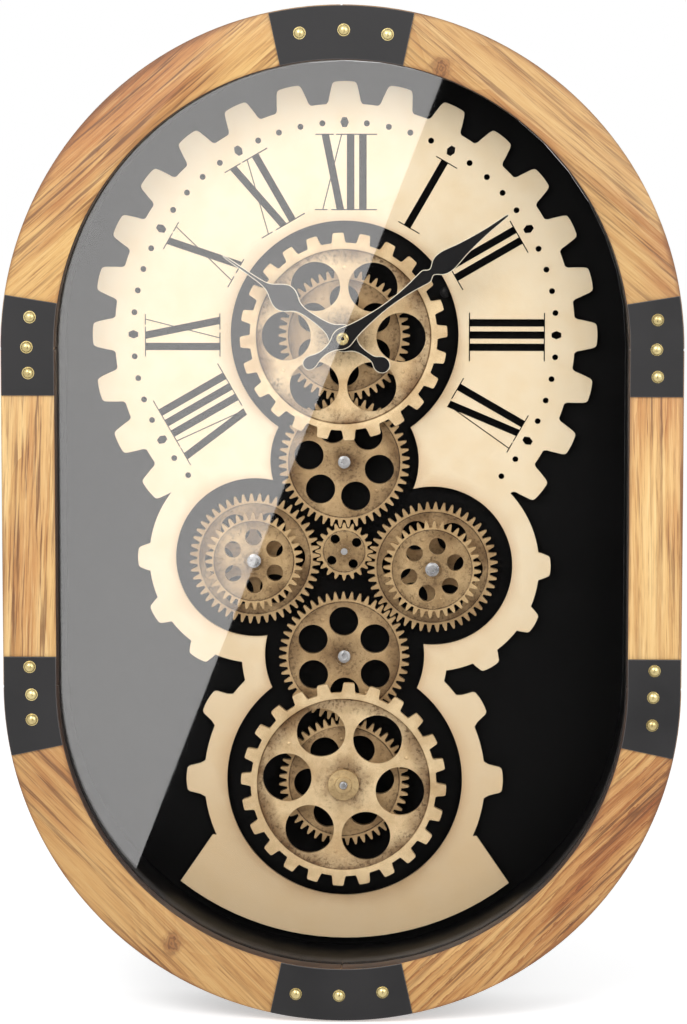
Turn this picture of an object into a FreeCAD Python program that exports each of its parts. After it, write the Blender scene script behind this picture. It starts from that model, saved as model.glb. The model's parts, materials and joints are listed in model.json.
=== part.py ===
import FreeCAD, Part
import Sketcher
import math
import os
import re

# A wall clock in an upright stadium case: a wooden ring with steel joint plates, a glass pane, a gold
# skeleton dial, and an open train of brass gears that a small motor turns in front of the dial.
# X is to the right, Z is up, and the front faces -Y. The origin is the middle of the back, on the wall.
# Pieces are drawn with their front face on the plane Y = 0 of their own frame and grow towards the wall.

SIZES = (
    # The case.
    ("case_radius", 200),
    ("case_straight", 200),
    ("case_depth", 84),
    ("ring_width", 32),
    ("ring_thick", 12),
    ("ring_quarter", 90),
    ("end_sides", 48),
    ("glass_thick", 3),
    ("drum_wall", 10),
    ("board_front", 21),
    ("board_thick", 5),
    ("board_fit", 0.2),
    # Steel joint plates on the ring.
    ("plate_inset", 0.5),
    ("plate_thick", 1.4),
    ("end_plate_angle", 24.5),
    ("upper_plate_angle", 9.1),
    ("upper_plate_leg", 27.5),
    ("lower_plate_angle", 11.9),
    ("lower_plate_leg", 18),
    # Where the arbors stand.
    ("dial_rise", 104.9),
    ("left_drop", 4.6),
    ("right_drop", 9.3),
    # The six like gears. A tooth's base width is measured on the root circle.
    ("gear_module", 1.58),
    ("gear_teeth", 48),
    ("gear_tip", 39.2),
    ("gear_root", 34.7),
    ("gear_tooth_tip", 0.8),
    ("gear_tooth_base", 4.56),
    ("gear_front", 35),
    ("gear_thick", 4),
    ("gear_hole", 8.8),
    ("gear_hole_ring", 21.45),
    ("gear_holes", 6),
    ("gear_hole_sides", 8),
    ("gear_hole_turn", 0),
    # The pinion.
    ("pinion_teeth", 20),
    ("pinion_tip", 17.4),
    ("pinion_root", 14.1),
    ("pinion_tooth_tip", 0.9),
    ("pinion_tooth_base", 2.4),
    ("pinion_hole", 2.85),
    ("pinion_hole_ring", 9.2),
    ("pinion_holes", 4),
    ("pinion_hole_sides", 6),
    ("pinion_hole_turn", 0),
    ("pinion_bore", 2),
    # The two large front wheels.
    ("wheel_teeth", 24),
    ("wheel_tip", 61.6),
    ("wheel_root", 55.7),
    ("wheel_tooth_tip", 6.2),
    ("wheel_tooth_base", 8.7),
    ("wheel_front", 47),
    ("wheel_thick", 4),
    ("wheel_rim", 51.5),
    ("wheel_rim_sides", 28),
    ("wheel_dish", 1.5),
    ("wheel_hole", 14.65),
    ("wheel_hole_ring", 34.1),
    ("wheel_holes", 6),
    ("wheel_hole_sides", 8),
    ("wheel_hole_turn", -3.75),
    # The small gears in front of the side gears.
    ("small_teeth", 36),
    ("small_tip", 29.2),
    ("small_root", 25),
    ("small_tooth_tip", 0.9),
    ("small_tooth_base", 4.4),
    ("small_hole", 5),
    ("small_hole_ring", 14.4),
    ("small_holes", 6),
    ("small_hole_sides", 6),
    ("small_hole_turn", 0),
    ("tooth_sink", 1.5),
    # Studs, bosses and their fits.
    ("bore_sides", 10),
    ("stud_radius", 1.5),
    ("stud_proud", 0.6),
    ("shoulder_radius", 3.5),
    ("shoulder_sides", 6),
    ("running_gap", 0.06),
    ("end_gap", 0.1),
    ("boss_radius", 7),
    ("boss_sides", 6),
    ("cap_radius", 9.3),
    ("cap_step_radius", 5.1),
    ("cap_thick", 3),
    ("cap_step_thick", 1.6),
    ("cap_sides", 16),
    # The dial plate.
    ("dial_front", 28),
    ("dial_thick", 2),
    ("dial_teeth", 28),
    ("dial_tip", 150.9),
    ("dial_root", 138.2),
    ("dial_tooth_tip", 13.4),
    ("dial_tooth_base", 20),
    ("curve_sides", 28),
    ("top_window", 68.1),
    ("second_window", 44.5),
    ("side_window", 47.9),
    ("pinion_window", 25),
    ("lower_window", 48),
    ("bottom_window", 71),
    ("lobe_tip", 70.9),
    ("lobe_root", 64),
    ("lobe_tooth_tip", 12),
    ("lobe_tooth_base", 18),
    ("lobe_pitch", 30),
    ("lobe_teeth", 3),
    ("neck_radius", 62),
    ("foot_tip", 95.7),
    ("foot_root", 84.9),
    ("foot_tooth_tip", 14.7),
    ("foot_tooth_base", 21.3),
    ("foot_teeth", 2),
    ("skirt_radius", 161.5),
    ("skirt_top_width", 160),
    ("skirt_top_drop", 34.5),
    ("skirt_low_width", 199),
    ("post_radius", 3),
    ("post_sides", 6),
    ("post_ring", 128),
    ("high_post_angle", 60),
    ("low_post_angle", 20),
    ("skirt_post_width", 124),
    ("skirt_post_drop", 122),
    # The hands, with their angles clockwise from straight up at nine minutes past ten.
    ("hand_thick", 1),
    ("tail_neck", 1.6),
    ("hub_sides", 16),
    ("hour_front", 59),
    ("hour_angle", 304.4),
    ("hour_hub", 8.5),
    ("hour_leaf", 8.3),
    ("hour_length", 86),
    ("hour_tail", 27.7),
    ("hour_tail_radius", 5.2),
    ("hour_pipe_radius", 2.5),
    ("minute_front", 63),
    ("minute_angle", 53.2),
    ("minute_hub", 6.5),
    ("minute_leaf", 6.7),
    ("minute_length", 121.7),
    ("minute_tail", 23.6),
    ("minute_tail_radius", 4.2),
    ("minute_shaft_radius", 1.5),
    ("shaft_gap", 0.05),
    ("nut_radius", 3.7),
    ("nut_sides", 6),
    ("nut_thick", 2.4),
    # The quartz movement and the gear motor behind the board.
    ("movement_side", 56),
    ("movement_depth", 15),
    ("neck_tube_radius", 4),
    ("neck_tube_front", 51),
    ("knob_radius", 6.5),
    ("knob_thick", 2),
    ("knob_sides", 12),
    ("knob_gap", 0.5),
    ("knob_rise", 9),
    ("knob_stem_radius", 1.5),
    ("knob_stem_length", 3),
    ("motor_width", 60),
    ("motor_height", 66),
    ("motor_depth", 15),
    ("motor_drop", 12),
    ("cell_radius", 7.1),
    ("cell_length", 50.5),
    ("cell_sides", 12),
    ("cell_nub_radius", 2.7),
    ("cell_nub_length", 1.3),
    ("cell_gap", 0.4),
    ("cell_wall", 2.3),
    ("switch_width", 6),
    ("switch_height", 4),
    ("switch_depth", 3),
    ("switch_proud", 0.7),
    ("switch_gap", 0.3),
    ("switch_travel", 3),
    # The hanger.
    ("hanger_drop", 22),
    ("hanger_block_width", 70),
    ("hanger_block_height", 26),
    ("hanger_width", 50),
    ("hanger_height", 20),
    ("hanger_thick", 1.5),
    ("hanger_hole", 4.5),
    ("hanger_slot", 2.2),
    ("hanger_slot_length", 8),
    ("hanger_pocket_depth", 8),
    ("hanger_pocket_width", 16),
    ("hanger_pocket_height", 19),
)

doc = FreeCAD.newDocument("GearWallClock")
sheet = doc.addObject("Spreadsheet::Sheet", "Sizes")
for row, (alias, size) in enumerate(SIZES, 1):
    sheet.set("A%d" % row, alias)
    sheet.set("B%d" % row, str(size))
    sheet.setAlias("B%d" % row, alias)
doc.recompute()

ORIGIN_POINT = (-1, 1)
HORIZONTAL_AXIS = -1
VERTICAL_AXIS = -2
START, END = 1, 2
TO_VIEWER = FreeCAD.Vector(0, -1, 0)
TO_RIGHT = FreeCAD.Vector(1, 0, 0)
FULL_TURN = 360
HALF_TURN = 180
QUARTER_TURN = 90
AT_ORIGIN = ("0", "0", "0")

NAMES = {alias for alias, size in SIZES}

pieces = []


def sized(text):
    """A formula with each size's name led by the sheet's name."""
    return re.sub("[a-z_]+", lambda word: "Sizes." * (word.group() in NAMES) + word.group(), text)


def number(text):
    """The value of a formula on bare size names."""
    result = sheet.evalExpression(sized(text))
    return float(getattr(result, "Value", result))


def origin_part(body, role):
    """The body's own origin plane or axis with this role."""
    return next(part for part in body.Origin.OriginFeatures if part.Role == role)


def new_body(label, place=AT_ORIGIN, turn=0):
    """A body whose own frame stands at this place, turned anticlockwise as seen from the front."""
    body = doc.addObject("PartDesign::Body", label)
    body.Label = label
    body.Placement = FreeCAD.Placement(FreeCAD.Vector(), FreeCAD.Rotation(TO_VIEWER, turn))
    for axis, formula in zip("xyz", place):
        body.setExpression("Placement.Base." + axis, sized(formula))
    pieces.append(body)
    return body


def copy_body(label, source, place, turn):
    """A body that starts as a copy of another one."""
    body = new_body(label, place, turn)
    base = body.newObject("PartDesign::FeatureBase", label + "_base")
    base.BaseFeature = source
    body.Tip = base
    return body


def attach(feature, body, role="XZ_Plane", offset=AT_ORIGIN):
    """Lay a sketch or primitive on one of the body's origin planes, moved by an offset in that plane."""
    feature.AttachmentSupport = [(origin_part(body, role), "")]
    feature.MapMode = "FlatFace"
    for axis, formula in zip("xyz", offset):
        if formula != "0":
            feature.setExpression("AttachmentOffset.Base." + axis, sized(formula))


def new_sketch(body, name, role="XZ_Plane", offset=AT_ORIGIN):
    sketch = body.newObject("Sketcher::SketchObject", name)
    attach(sketch, body, role, offset)
    return sketch


def fix_point(sketch, point, x, y):
    """Bind a sketch point's two coordinates to formulas."""
    for formula, kind, axis in ((x, "DistanceX", VERTICAL_AXIS), (y, "DistanceY", HORIZONTAL_AXIS)):
        if formula == "0":
            sketch.addConstraint(Sketcher.Constraint("PointOnObject", *point, axis))
            continue
        distance = Sketcher.Constraint(kind, *ORIGIN_POINT, *point, number(formula))
        index = sketch.addConstraint(distance)
        sketch.setExpression("Constraints[%d]" % index, sized(formula))


def spot(x, y):
    return FreeCAD.Vector(number(x), number(y), 0)


def add_outline(sketch, corners):
    """A closed outline: each corner is (x, y), or (x, y, via_x, via_y) where an arc leads to it."""
    spots = [spot(*corner[:2]) for corner in corners]
    edges = []
    for index, corner in enumerate(corners):
        run = (spots[index - 1], spots[index])
        if len(corner) == 2:
            edge = Part.LineSegment(*run)
        else:
            edge = Part.Arc(run[0], spot(*corner[2:]), run[1])
        edges.append(sketch.addGeometry(edge))
    ends = []
    for edge, place in zip(edges, spots):
        from_start = sketch.getPoint(edge, START).distanceToPoint(place)
        ends.append(END if sketch.getPoint(edge, END).distanceToPoint(place) < from_start else START)
    for index, edge in enumerate(edges):
        following = (index + 1) % len(edges)
        other = START if ends[following] == END else END
        sketch.addConstraint(Sketcher.Constraint("Coincident", edge, ends[index], edges[following], other))
        fix_point(sketch, (edge, ends[index]), *corners[index][:2])
    for edge, corner in zip(edges, corners):
        if len(corner) > 2:
            mark = sketch.addGeometry(Part.Point(spot(*corner[2:])), True)
            sketch.addConstraint(Sketcher.Constraint("PointOnObject", mark, START, edge))
            fix_point(sketch, (mark, START), *corner[2:])


def add_box(sketch, left, low, right, high):
    add_outline(sketch, ((left, low), (right, low), (right, high), (left, high)))


def pad(body, sketch, thick):
    """Grow a sketch towards the wall."""
    feature = body.newObject("PartDesign::Pad", sketch.Name + "_pad")
    feature.Profile = sketch
    feature.Reversed = True
    feature.setExpression("Length", sized(thick))
    body.Tip = feature
    return feature


def bent_bar(body, inner, outer, thick, angle, clockwise=False, midplane=False):
    """A flat bar bent round the body's axis, from its +X side or to both sides of it."""
    section = new_sketch(body, "section", "XY_Plane")
    add_box(section, inner, "0", outer, thick)
    bar = body.newObject("PartDesign::Revolution", "bend")
    bar.Profile = section
    bar.ReferenceAxis = (origin_part(body, "Y_Axis"), [""])
    bar.setExpression("Angle", sized(angle))
    bar.Midplane = midplane
    bar.Reversed = not clockwise and not midplane
    body.Tip = bar


def new_bar(body, shape, name, sizes, thick, x, y, front, cut):
    """A primitive, added or cut, from a depth behind the body's front plane towards the wall."""
    kind = "PartDesign::Subtractive" if cut else "PartDesign::Additive"
    bar = body.newObject(kind + shape, name)
    attach(bar, body, offset=(x, y, "-(" + front + ") - (" + thick + ")"))
    bar.setExpression("Height", sized(thick))
    for key, formula in sizes.items():
        bar.setExpression(key, sized(formula))
    body.Tip = bar
    return bar


def round_bar(body, name, radius, thick, x="0", y="0", front="0", cut=False):
    return new_bar(body, "Cylinder", name, {"Radius": radius}, thick, x, y, front, cut)


def sided_bar(body, name, radius, sides, thick, x="0", y="0", front="0", cut=False):
    return new_bar(body, "Prism", name, {"Circumradius": radius, "Polygon": sides}, thick, x, y, front, cut)


def bore_cut(body, name, radius, thick, x="0", y="0", front="0"):
    """A bore as a prism whose flats touch its circle, so that a round pin never meets them."""
    corners = "(" + radius + ") / cos(%d / bore_sides)" % HALF_TURN
    return sided_bar(body, name, corners, "bore_sides", thick, x, y, front, True)


def box_bar(body, name, width, height, depth, x, y, front="0", cut=True):
    """A box, cut or added, whose lower left corner is at x and y."""
    return new_bar(body, "Box", name, {"Length": width, "Width": height}, depth, x, y, front, cut)


def stadium_bar(body, name, radius, thick, cut=False):
    """The upright stadium that the case's parts share: a box between two rounded ends."""
    for end, level in (("upper", UPPER), ("lower", LOWER)):
        sided_bar(body, name + "_" + end + "_end", radius, "end_sides", thick, "0", level, cut=cut)
    width = "2 * (" + radius + ")"
    box_bar(body, name + "_middle", width, "case_straight", thick, "-(" + radius + ")", LOWER, cut=cut)


def ring_of(body, original, copies, angle=None, axis=None):
    """Repeat a feature round the body's axis, or round the axis of a sketch."""
    pattern = body.newObject("PartDesign::PolarPattern", original.Name + "_ring")
    pattern.Originals = [original]
    pattern.Axis = axis or (origin_part(body, "Y_Axis"), [""])
    pattern.Angle = FULL_TURN
    if angle:
        pattern.setExpression("Angle", sized(angle))
    pattern.setExpression("Occurrences", sized(copies))
    body.Tip = pattern
    return pattern


def tooth_outline(sketch, kind):
    """A straight-sided tooth that points up. Its flanks run on down to a foot below the root circle."""
    tip, root = kind + "_tip", kind + "_root"
    tip_half = kind + "_tooth_tip / 2"
    flare = "(" + kind + "_tooth_base - " + kind + "_tooth_tip) * tooth_sink / (" + tip + " - " + root + ")"
    foot_half = "(" + kind + "_tooth_base + " + flare + ") / 2"
    foot = root + " - tooth_sink"
    add_outline(sketch, (("-" + foot_half, foot), (foot_half, foot), (tip_half, tip), ("-" + tip_half, tip)))


def spur_gear(body, kind, thick, bore, boss=None):
    """A toothed disc of this kind's sizes, with a ring of holes and, if asked, a boss behind it."""
    sided_bar(body, "blank", kind + "_root", kind + "_teeth", thick)
    tooth = new_sketch(body, "tooth")
    tooth_outline(tooth, kind)
    ring_of(body, pad(body, tooth, thick), kind + "_teeth")
    turn = kind + "_hole_turn"
    across = "-" + kind + "_hole_ring * sin(" + turn + ")"
    up = kind + "_hole_ring * cos(" + turn + ")"
    hole = sided_bar(body, "hole", kind + "_hole", kind + "_hole_sides", thick, across, up, cut=True)
    ring_of(body, hole, kind + "_holes")
    if boss:
        sided_bar(body, "boss", "boss_radius", "boss_sides", boss, front=thick)
        thick = thick + " + " + boss
    bore_cut(body, "bore", bore, thick)


def stand(item, x, y, z):
    """Set a primitive upright on the board, with its axis towards the viewer."""
    item.Placement = FreeCAD.Placement(FreeCAD.Vector(), FreeCAD.Rotation(TO_RIGHT, QUARTER_TURN))
    for axis, formula in zip("xyz", (x, y, z)):
        item.setExpression("Placement.Base." + axis, sized(formula))
    return item


def group_of(label, items):
    """One node of several like solids."""
    group = doc.addObject("Part::Compound", label)
    group.Label = label
    group.Links = items
    pieces.append(group)


def new_prism(name, radius, sides, height):
    prism = doc.addObject("Part::Prism", name)
    for key, formula in (("Polygon", sides), ("Circumradius", radius), ("Height", height)):
        prism.setExpression(key, sized(formula))
    return prism


# Arbor places, as formulas for X and Z. Neighbours stand one centre distance apart.
GEAR_STEP = "gear_teeth * gear_module"
PINION_STEP = "(gear_teeth + pinion_teeth) * gear_module / 2"
PINION_Z = "dial_rise - " + GEAR_STEP + " - " + PINION_STEP
RIGHT_X = "sqrt((" + PINION_STEP + ")^2 - right_drop^2)"
LOWER_Z = PINION_Z + " - right_drop - sqrt((" + GEAR_STEP + ")^2 - (" + RIGHT_X + ")^2)"
ARBORS = {
    "top": ("0", "dial_rise"),
    "second": ("0", "dial_rise - " + GEAR_STEP),
    "pinion": ("0", PINION_Z),
    "left": ("-sqrt((" + PINION_STEP + ")^2 - left_drop^2)", PINION_Z + " - left_drop"),
    "right": (RIGHT_X, PINION_Z + " - right_drop"),
    "lower": ("0", LOWER_Z),
    "bottom": ("0", LOWER_Z + " - (" + GEAR_STEP + ")"),
}

# How each gear came to rest in the photograph: the angle of one of its holes, anticlockwise from +X.
HOLE_ANGLES = {"top": 28, "second": 48.5, "pinion": 36.9, "left": 0, "right": 0, "lower": 29.5, "bottom": 4}
MESHES = (("top", "second"), ("second", "pinion"), ("pinion", "left"), ("pinion", "right"),
          ("right", "lower"), ("lower", "bottom"))
# The turns of the front wheels and gears, which mesh with nothing.
TOP_WHEEL_TURN = 33.1
BOTTOM_WHEEL_TURN = 27
LEFT_FRONT_TURN = 1
RIGHT_FRONT_TURN = -12.5


def tooth_count(name):
    return number("pinion_teeth" if name == "pinion" else "gear_teeth")


def meshed_turns():
    """The turn of each gear, so that teeth face gaps where two gears meet and the holes stand as seen."""
    turns = {"top": QUARTER_TURN}
    for driver, driven in MESHES:
        across = number(ARBORS[driven][0]) - number(ARBORS[driver][0])
        up = number(ARBORS[driven][1]) - number(ARBORS[driver][1])
        bearing = math.degrees(math.atan2(up, across))
        lead = tooth_count(driver) / tooth_count(driven) * (turns[driver] - bearing)
        turns[driven] = bearing + HALF_TURN - lead - HALF_TURN / tooth_count(driven)
    settled = {}
    for name, turn in turns.items():
        pitch = FULL_TURN / tooth_count(name)
        steps = round((HOLE_ANGLES[name] - turn) / pitch)
        settled[name] = turn + steps * pitch - QUARTER_TURN
    return settled


TURNS = meshed_turns()


def at_arbor(name, front):
    """The place of a piece on an arbor, with its front face this far from the wall."""
    return (ARBORS[name][0], "-(" + front + ")", ARBORS[name][1])


# The wooden ring: four quarter arcs and two straight rails, butted end to end.
UPPER = "case_straight / 2"
LOWER = "-case_straight / 2"
RING_INNER = "case_radius - ring_width"
ARC_PIECES = (("frame_top_right", UPPER, 0), ("frame_top_left", UPPER, QUARTER_TURN),
              ("frame_bottom_left", LOWER, HALF_TURN), ("frame_bottom_right", LOWER, -QUARTER_TURN))
for label, level, turn in ARC_PIECES:
    body = new_body(label, ("0", "-case_depth", level), turn)
    bent_bar(body, RING_INNER, "case_radius", "ring_thick", "ring_quarter")

for label, x in (("frame_left_rail", "-case_radius"), ("frame_right_rail", RING_INNER)):
    body = new_body(label, (x, "-case_depth", LOWER))
    rail = new_sketch(body, "rail")
    add_box(rail, "0", "0", "ring_width", "case_straight")
    pad(body, rail, "ring_thick")

# Flat steel plates cover the butt joints, a little narrower than the ring.
PLATE_INNER = RING_INNER + " + plate_inset"
PLATE_OUTER = "case_radius - plate_inset"
PLATE_FRONT = "-case_depth - plate_thick"
for label, level, turn in (("plate_top", UPPER, QUARTER_TURN), ("plate_bottom", LOWER, -QUARTER_TURN)):
    body = new_body(label, ("0", PLATE_FRONT, level), turn)
    bent_bar(body, PLATE_INNER, PLATE_OUTER, "plate_thick", "end_plate_angle", midplane=True)

# A side plate bends round the end of its arc and has a straight leg on the rail.
SIDE_PLATES = (("plate_upper_right", UPPER, 0, "upper", False),
               ("plate_upper_left", UPPER, HALF_TURN, "upper", True),
               ("plate_lower_right", LOWER, 0, "lower", True),
               ("plate_lower_left", LOWER, HALF_TURN, "lower", False))
for label, level, turn, kind, clockwise in SIDE_PLATES:
    body = new_body(label, ("0", PLATE_FRONT, level), turn)
    bent_bar(body, PLATE_INNER, PLATE_OUTER, "plate_thick", kind + "_plate_angle", clockwise)
    leg = new_sketch(body, "leg")
    add_box(leg, PLATE_INNER, "0", PLATE_OUTER, ("" if clockwise else "-") + kind + "_plate_leg")
    pad(body, leg, "plate_thick")

# The glass pane lies between the ring and the drum, as wide as the drum.
DRUM_OUTER = RING_INNER + " + drum_wall"
body = new_body("glass_pane", ("0", "-case_depth + ring_thick", "0"))
stadium_bar(body, "pane", DRUM_OUTER, "glass_thick")

# The drum is the deep wall of the case, from the glass back to the wall.
body = new_body("drum", ("0", "-case_depth + ring_thick + glass_thick", "0"))
DRUM_DEPTH = "case_depth - ring_thick - glass_thick"
stadium_bar(body, "band", DRUM_OUTER, DRUM_DEPTH)
stadium_bar(body, "hollow", RING_INNER, DRUM_DEPTH, cut=True)

# The board closes the drum behind the gears and carries everything inside.
body = new_body("back_board", ("0", "-board_front", "0"))
stadium_bar(body, "board", RING_INNER + " - board_fit", "board_thick")
for name, radius in (("top", "neck_tube_radius"), ("pinion", "pinion_bore")):
    bore_cut(body, name + "_bore", radius + " + running_gap", "board_thick", *ARBORS[name])

# The dial plate: a large toothed disc, two toothed lobes round the side gears, a neck, a toothed ring round
# the bottom wheel and a skirt that follows the drum. Round windows let the gears show. The round edges are
# regular polygons of many sides, which keeps the plate light.
dial = new_body("dial_plate", ("0", "-dial_front", "0"))


def dial_disc(name, arbor, radius, cut=False):
    sided_bar(dial, name, radius, "curve_sides", "dial_thick", *ARBORS[arbor], cut=cut)


def dial_teeth(name, arbor, kind, copies, spread=None, start=0):
    """A run of teeth round an arbor, anticlockwise from a start angle that is counted from straight up."""
    tooth = new_sketch(dial, name)
    tooth.AttachmentOffset = FreeCAD.Placement(
        FreeCAD.Vector(), FreeCAD.Rotation(FreeCAD.Vector(0, 0, 1), start))
    attach(tooth, dial, offset=(*ARBORS[arbor], "0"))
    tooth_outline(tooth, kind)
    ring_of(dial, pad(dial, tooth, "dial_thick"), copies, spread, (tooth, ["N_Axis"]))


sided_bar(dial, "face", "dial_root", "dial_teeth", "dial_thick", *ARBORS["top"])
dial_teeth("face_tooth", "top", "dial", "dial_teeth")
dial_disc("left_lobe", "left", "lobe_root")
dial_disc("right_lobe", "right", "lobe_root")
dial_disc("neck", "lower", "neck_radius")
dial_disc("foot_ring", "bottom", "foot_root")
LOBE_SPREAD = "lobe_pitch * (lobe_teeth - 1)"
FOOT_SPREAD = "lobe_pitch * (foot_teeth - 1)"
RIGHT_LOBE_START = -QUARTER_TURN - number(LOBE_SPREAD)
LEFT_FOOT_START = QUARTER_TURN - number(FOOT_SPREAD)
dial_teeth("left_lobe_tooth", "left", "lobe", "lobe_teeth", LOBE_SPREAD, QUARTER_TURN)
dial_teeth("right_lobe_tooth", "right", "lobe", "lobe_teeth", LOBE_SPREAD, RIGHT_LOBE_START)
dial_teeth("left_foot_tooth", "bottom", "foot", "foot_teeth", FOOT_SPREAD, LEFT_FOOT_START)
dial_teeth("right_foot_tooth", "bottom", "foot", "foot_teeth", FOOT_SPREAD, -QUARTER_TURN)
SKIRT_TOP = ARBORS["bottom"][1] + " - skirt_top_drop"
SKIRT_LOW = LOWER + " - sqrt(skirt_radius^2 - (skirt_low_width / 2)^2)"
skirt = new_sketch(dial, "skirt")
add_outline(skirt, (
    ("-skirt_top_width / 2", SKIRT_TOP),
    ("skirt_top_width / 2", SKIRT_TOP),
    ("skirt_low_width / 2", SKIRT_LOW),
    ("-skirt_low_width / 2", SKIRT_LOW, "0", LOWER + " - skirt_radius"),
))
pad(dial, skirt, "dial_thick")
for name in ARBORS:
    dial_disc(name + "_hole", name, ("side" if name in ("left", "right") else name) + "_window", cut=True)

# Hexagonal posts hold the dial plate off the board, four behind the face and two behind the skirt.
POST_PLACES = (("post_ring * cos(high_post_angle)", "dial_rise + post_ring * sin(high_post_angle)"),
               ("post_ring * cos(low_post_angle)", "dial_rise - post_ring * sin(low_post_angle)"),
               ("skirt_post_width / 2", LOWER + " - skirt_post_drop"))
posts = []
for x, z in POST_PLACES:
    for side in ("", "-"):
        post = new_prism("post", "post_radius", "post_sides", "dial_front - dial_thick - board_front")
        posts.append(stand(post, side + x, "-board_front", z))
group_of("dial_posts", posts)

# Six like gears mesh in a train. The one behind the top wheel turns on the movement's neck instead of a stud.
BORE = "stud_radius + running_gap"
NECK_BORE = "neck_tube_radius + running_gap"
second_gear = new_body("second_gear", at_arbor("second", "gear_front"), TURNS["second"])
spur_gear(second_gear, "gear", "gear_thick", BORE)
for name in ("left", "right", "lower", "bottom"):
    copy_body(name + "_gear", second_gear, at_arbor(name, "gear_front"), TURNS[name])
body = copy_body("top_gear", second_gear, at_arbor("top", "gear_front"), TURNS["top"])
bore_cut(body, "wide_bore", NECK_BORE, "gear_thick")

# The pinion in the middle is pressed on the motor's shaft and drives the train.
body = new_body("pinion", at_arbor("pinion", "gear_front"), TURNS["pinion"])
spur_gear(body, "pinion", "gear_thick", "pinion_bore + shaft_gap")

# The two front wheels have square teeth and a web dished inside a raised rim. A boss behind each web reaches
# the gear that turns with it.
BOSS = "wheel_front - wheel_thick - gear_front"
bottom_wheel = new_body("bottom_wheel", at_arbor("bottom", "wheel_front"), BOTTOM_WHEEL_TURN)
spur_gear(bottom_wheel, "wheel", "wheel_thick", BORE, BOSS)
sided_bar(bottom_wheel, "dish", "wheel_rim", "wheel_rim_sides", "wheel_dish", cut=True)
body = copy_body("top_wheel", bottom_wheel, at_arbor("top", "wheel_front"), TOP_WHEEL_TURN)
bore_cut(body, "wide_bore", NECK_BORE, "wheel_thick + " + BOSS)

# A smaller gear turns in front of each side gear, on the same stud and with the same boss.
left_front_gear = new_body("left_front_gear", at_arbor("left", "wheel_front"), LEFT_FRONT_TURN)
spur_gear(left_front_gear, "small", "wheel_thick", BORE, BOSS)
copy_body("right_front_gear", left_front_gear, at_arbor("right", "wheel_front"), RIGHT_FRONT_TURN)

# A stepped brass cap sits on the bottom wheel.
CAP_FRONT = "wheel_front - wheel_dish + cap_thick + cap_step_thick"
body = new_body("bottom_cap", at_arbor("bottom", CAP_FRONT))
sided_bar(body, "step", "cap_step_radius", "cap_sides", "cap_step_thick")
sided_bar(body, "flange", "cap_radius", "cap_sides", "cap_thick", front="cap_step_thick")
bore_cut(body, "bore", BORE, "cap_step_thick + cap_thick")

# Steel studs stand on the board and carry the gears. A shoulder on each keeps its gear off the board, and
# its end is just proud of what turns on it.
SHOULDER = "gear_front - gear_thick - end_gap - board_front"
STUDS = (("short_studs", ("second", "lower"), "gear_front"), ("side_studs", ("left", "right"), "wheel_front"),
         ("bottom_stud", ("bottom",), CAP_FRONT))
for label, arbors, front in STUDS:
    studs = []
    for name in arbors:
        shoulder = new_prism("shoulder", "shoulder_radius", "shoulder_sides", SHOULDER)
        pin = doc.addObject("Part::Cylinder", "pin")
        pin.setExpression("Radius", sized("stud_radius"))
        pin.setExpression("Height", sized(front + " + stud_proud - board_front"))
        stud = doc.addObject("Part::Fuse", "stud")
        stud.Base = shoulder
        stud.Tool = pin
        studs.append(stand(stud, ARBORS[name][0], "-board_front", ARBORS[name][1]))
    group_of(label, studs)


def new_hand(kind, shares):
    """A flat hand with a round hub, a shaped blade and a round counterweight on its tail."""
    hand = new_body(kind + "_hand", at_arbor("top", kind + "_front"), -number(kind + "_angle"))
    sided_bar(hand, "hub", kind + "_hub", "hub_sides", "hand_thick")
    scales = (kind + "_leaf", kind + "_length")
    right = [[share + " * " + scales[place % 2] for place, share in enumerate(corner)] for corner in shares]
    left = []
    for index, corner in enumerate(right):
        via = right[index + 1][2:] if index + 1 < len(right) else []
        left.insert(0, ["-" * (place % 2 == 0) + text for place, text in enumerate(corner[:2] + via)])
    blade = new_sketch(hand, "blade")
    add_outline(blade, right + left)
    pad(hand, blade, "hand_thick")
    tail = new_sketch(hand, "tail")
    tail_end = "-" + kind + "_tail"
    add_box(tail, "-tail_neck", "0", "tail_neck", tail_end)
    pad(hand, tail, "hand_thick")
    sided_bar(hand, "counterweight", kind + "_tail_radius", "hub_sides", "hand_thick", y=tail_end)
    return hand


# Blade outlines from the hub to the point. Each corner has a share of the leaf's half width and one of the
# hand's length, and where a curved stretch leads to it, the shares of a point on that stretch.
HOUR_BLADE_SHARES = (("0.25", "0.05"), ("0.24", "0.337"), ("0.62", "0.41", "0.36", "0.385"),
                     ("0.62", "0.565", "1", "0.488"), ("0.157", "0.651", "0.3", "0.595"), ("0.06", "1"))
MINUTE_BLADE_SHARES = (("0.5", "0.03"), ("0.25", "0.23"), ("0.3", "0.36"), ("0.66", "0.51", "0.42", "0.44"),
                       ("0.28", "0.54"), ("0.94", "0.595", "0.5", "0.562"), ("0.6", "0.73", "1", "0.635"),
                       ("0.19", "0.89", "0.36", "0.815"), ("0.12", "1"))

# The hour hand's pipe runs in the movement's neck, and the minute hand's shaft in the pipe. A brass nut
# holds the minute hand.
hour_hand = new_hand("hour", HOUR_BLADE_SHARES)
PIPE = "hour_front - board_front"
round_bar(hour_hand, "pipe", "hour_pipe_radius", PIPE)
bore_cut(hour_hand, "pipe_bore", "minute_shaft_radius + shaft_gap", PIPE)
minute_hand = new_hand("minute", MINUTE_BLADE_SHARES)
NUT_FRONT = "minute_front + nut_thick"
round_bar(minute_hand, "shaft", "minute_shaft_radius", NUT_FRONT + " - board_front", front="-nut_thick")
body = new_body("hand_nut", at_arbor("top", NUT_FRONT), -number("minute_angle"))
sided_bar(body, "nut", "nut_radius", "nut_sides", "nut_thick")
bore_cut(body, "thread", "minute_shaft_radius + shaft_gap", "nut_thick")

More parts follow.
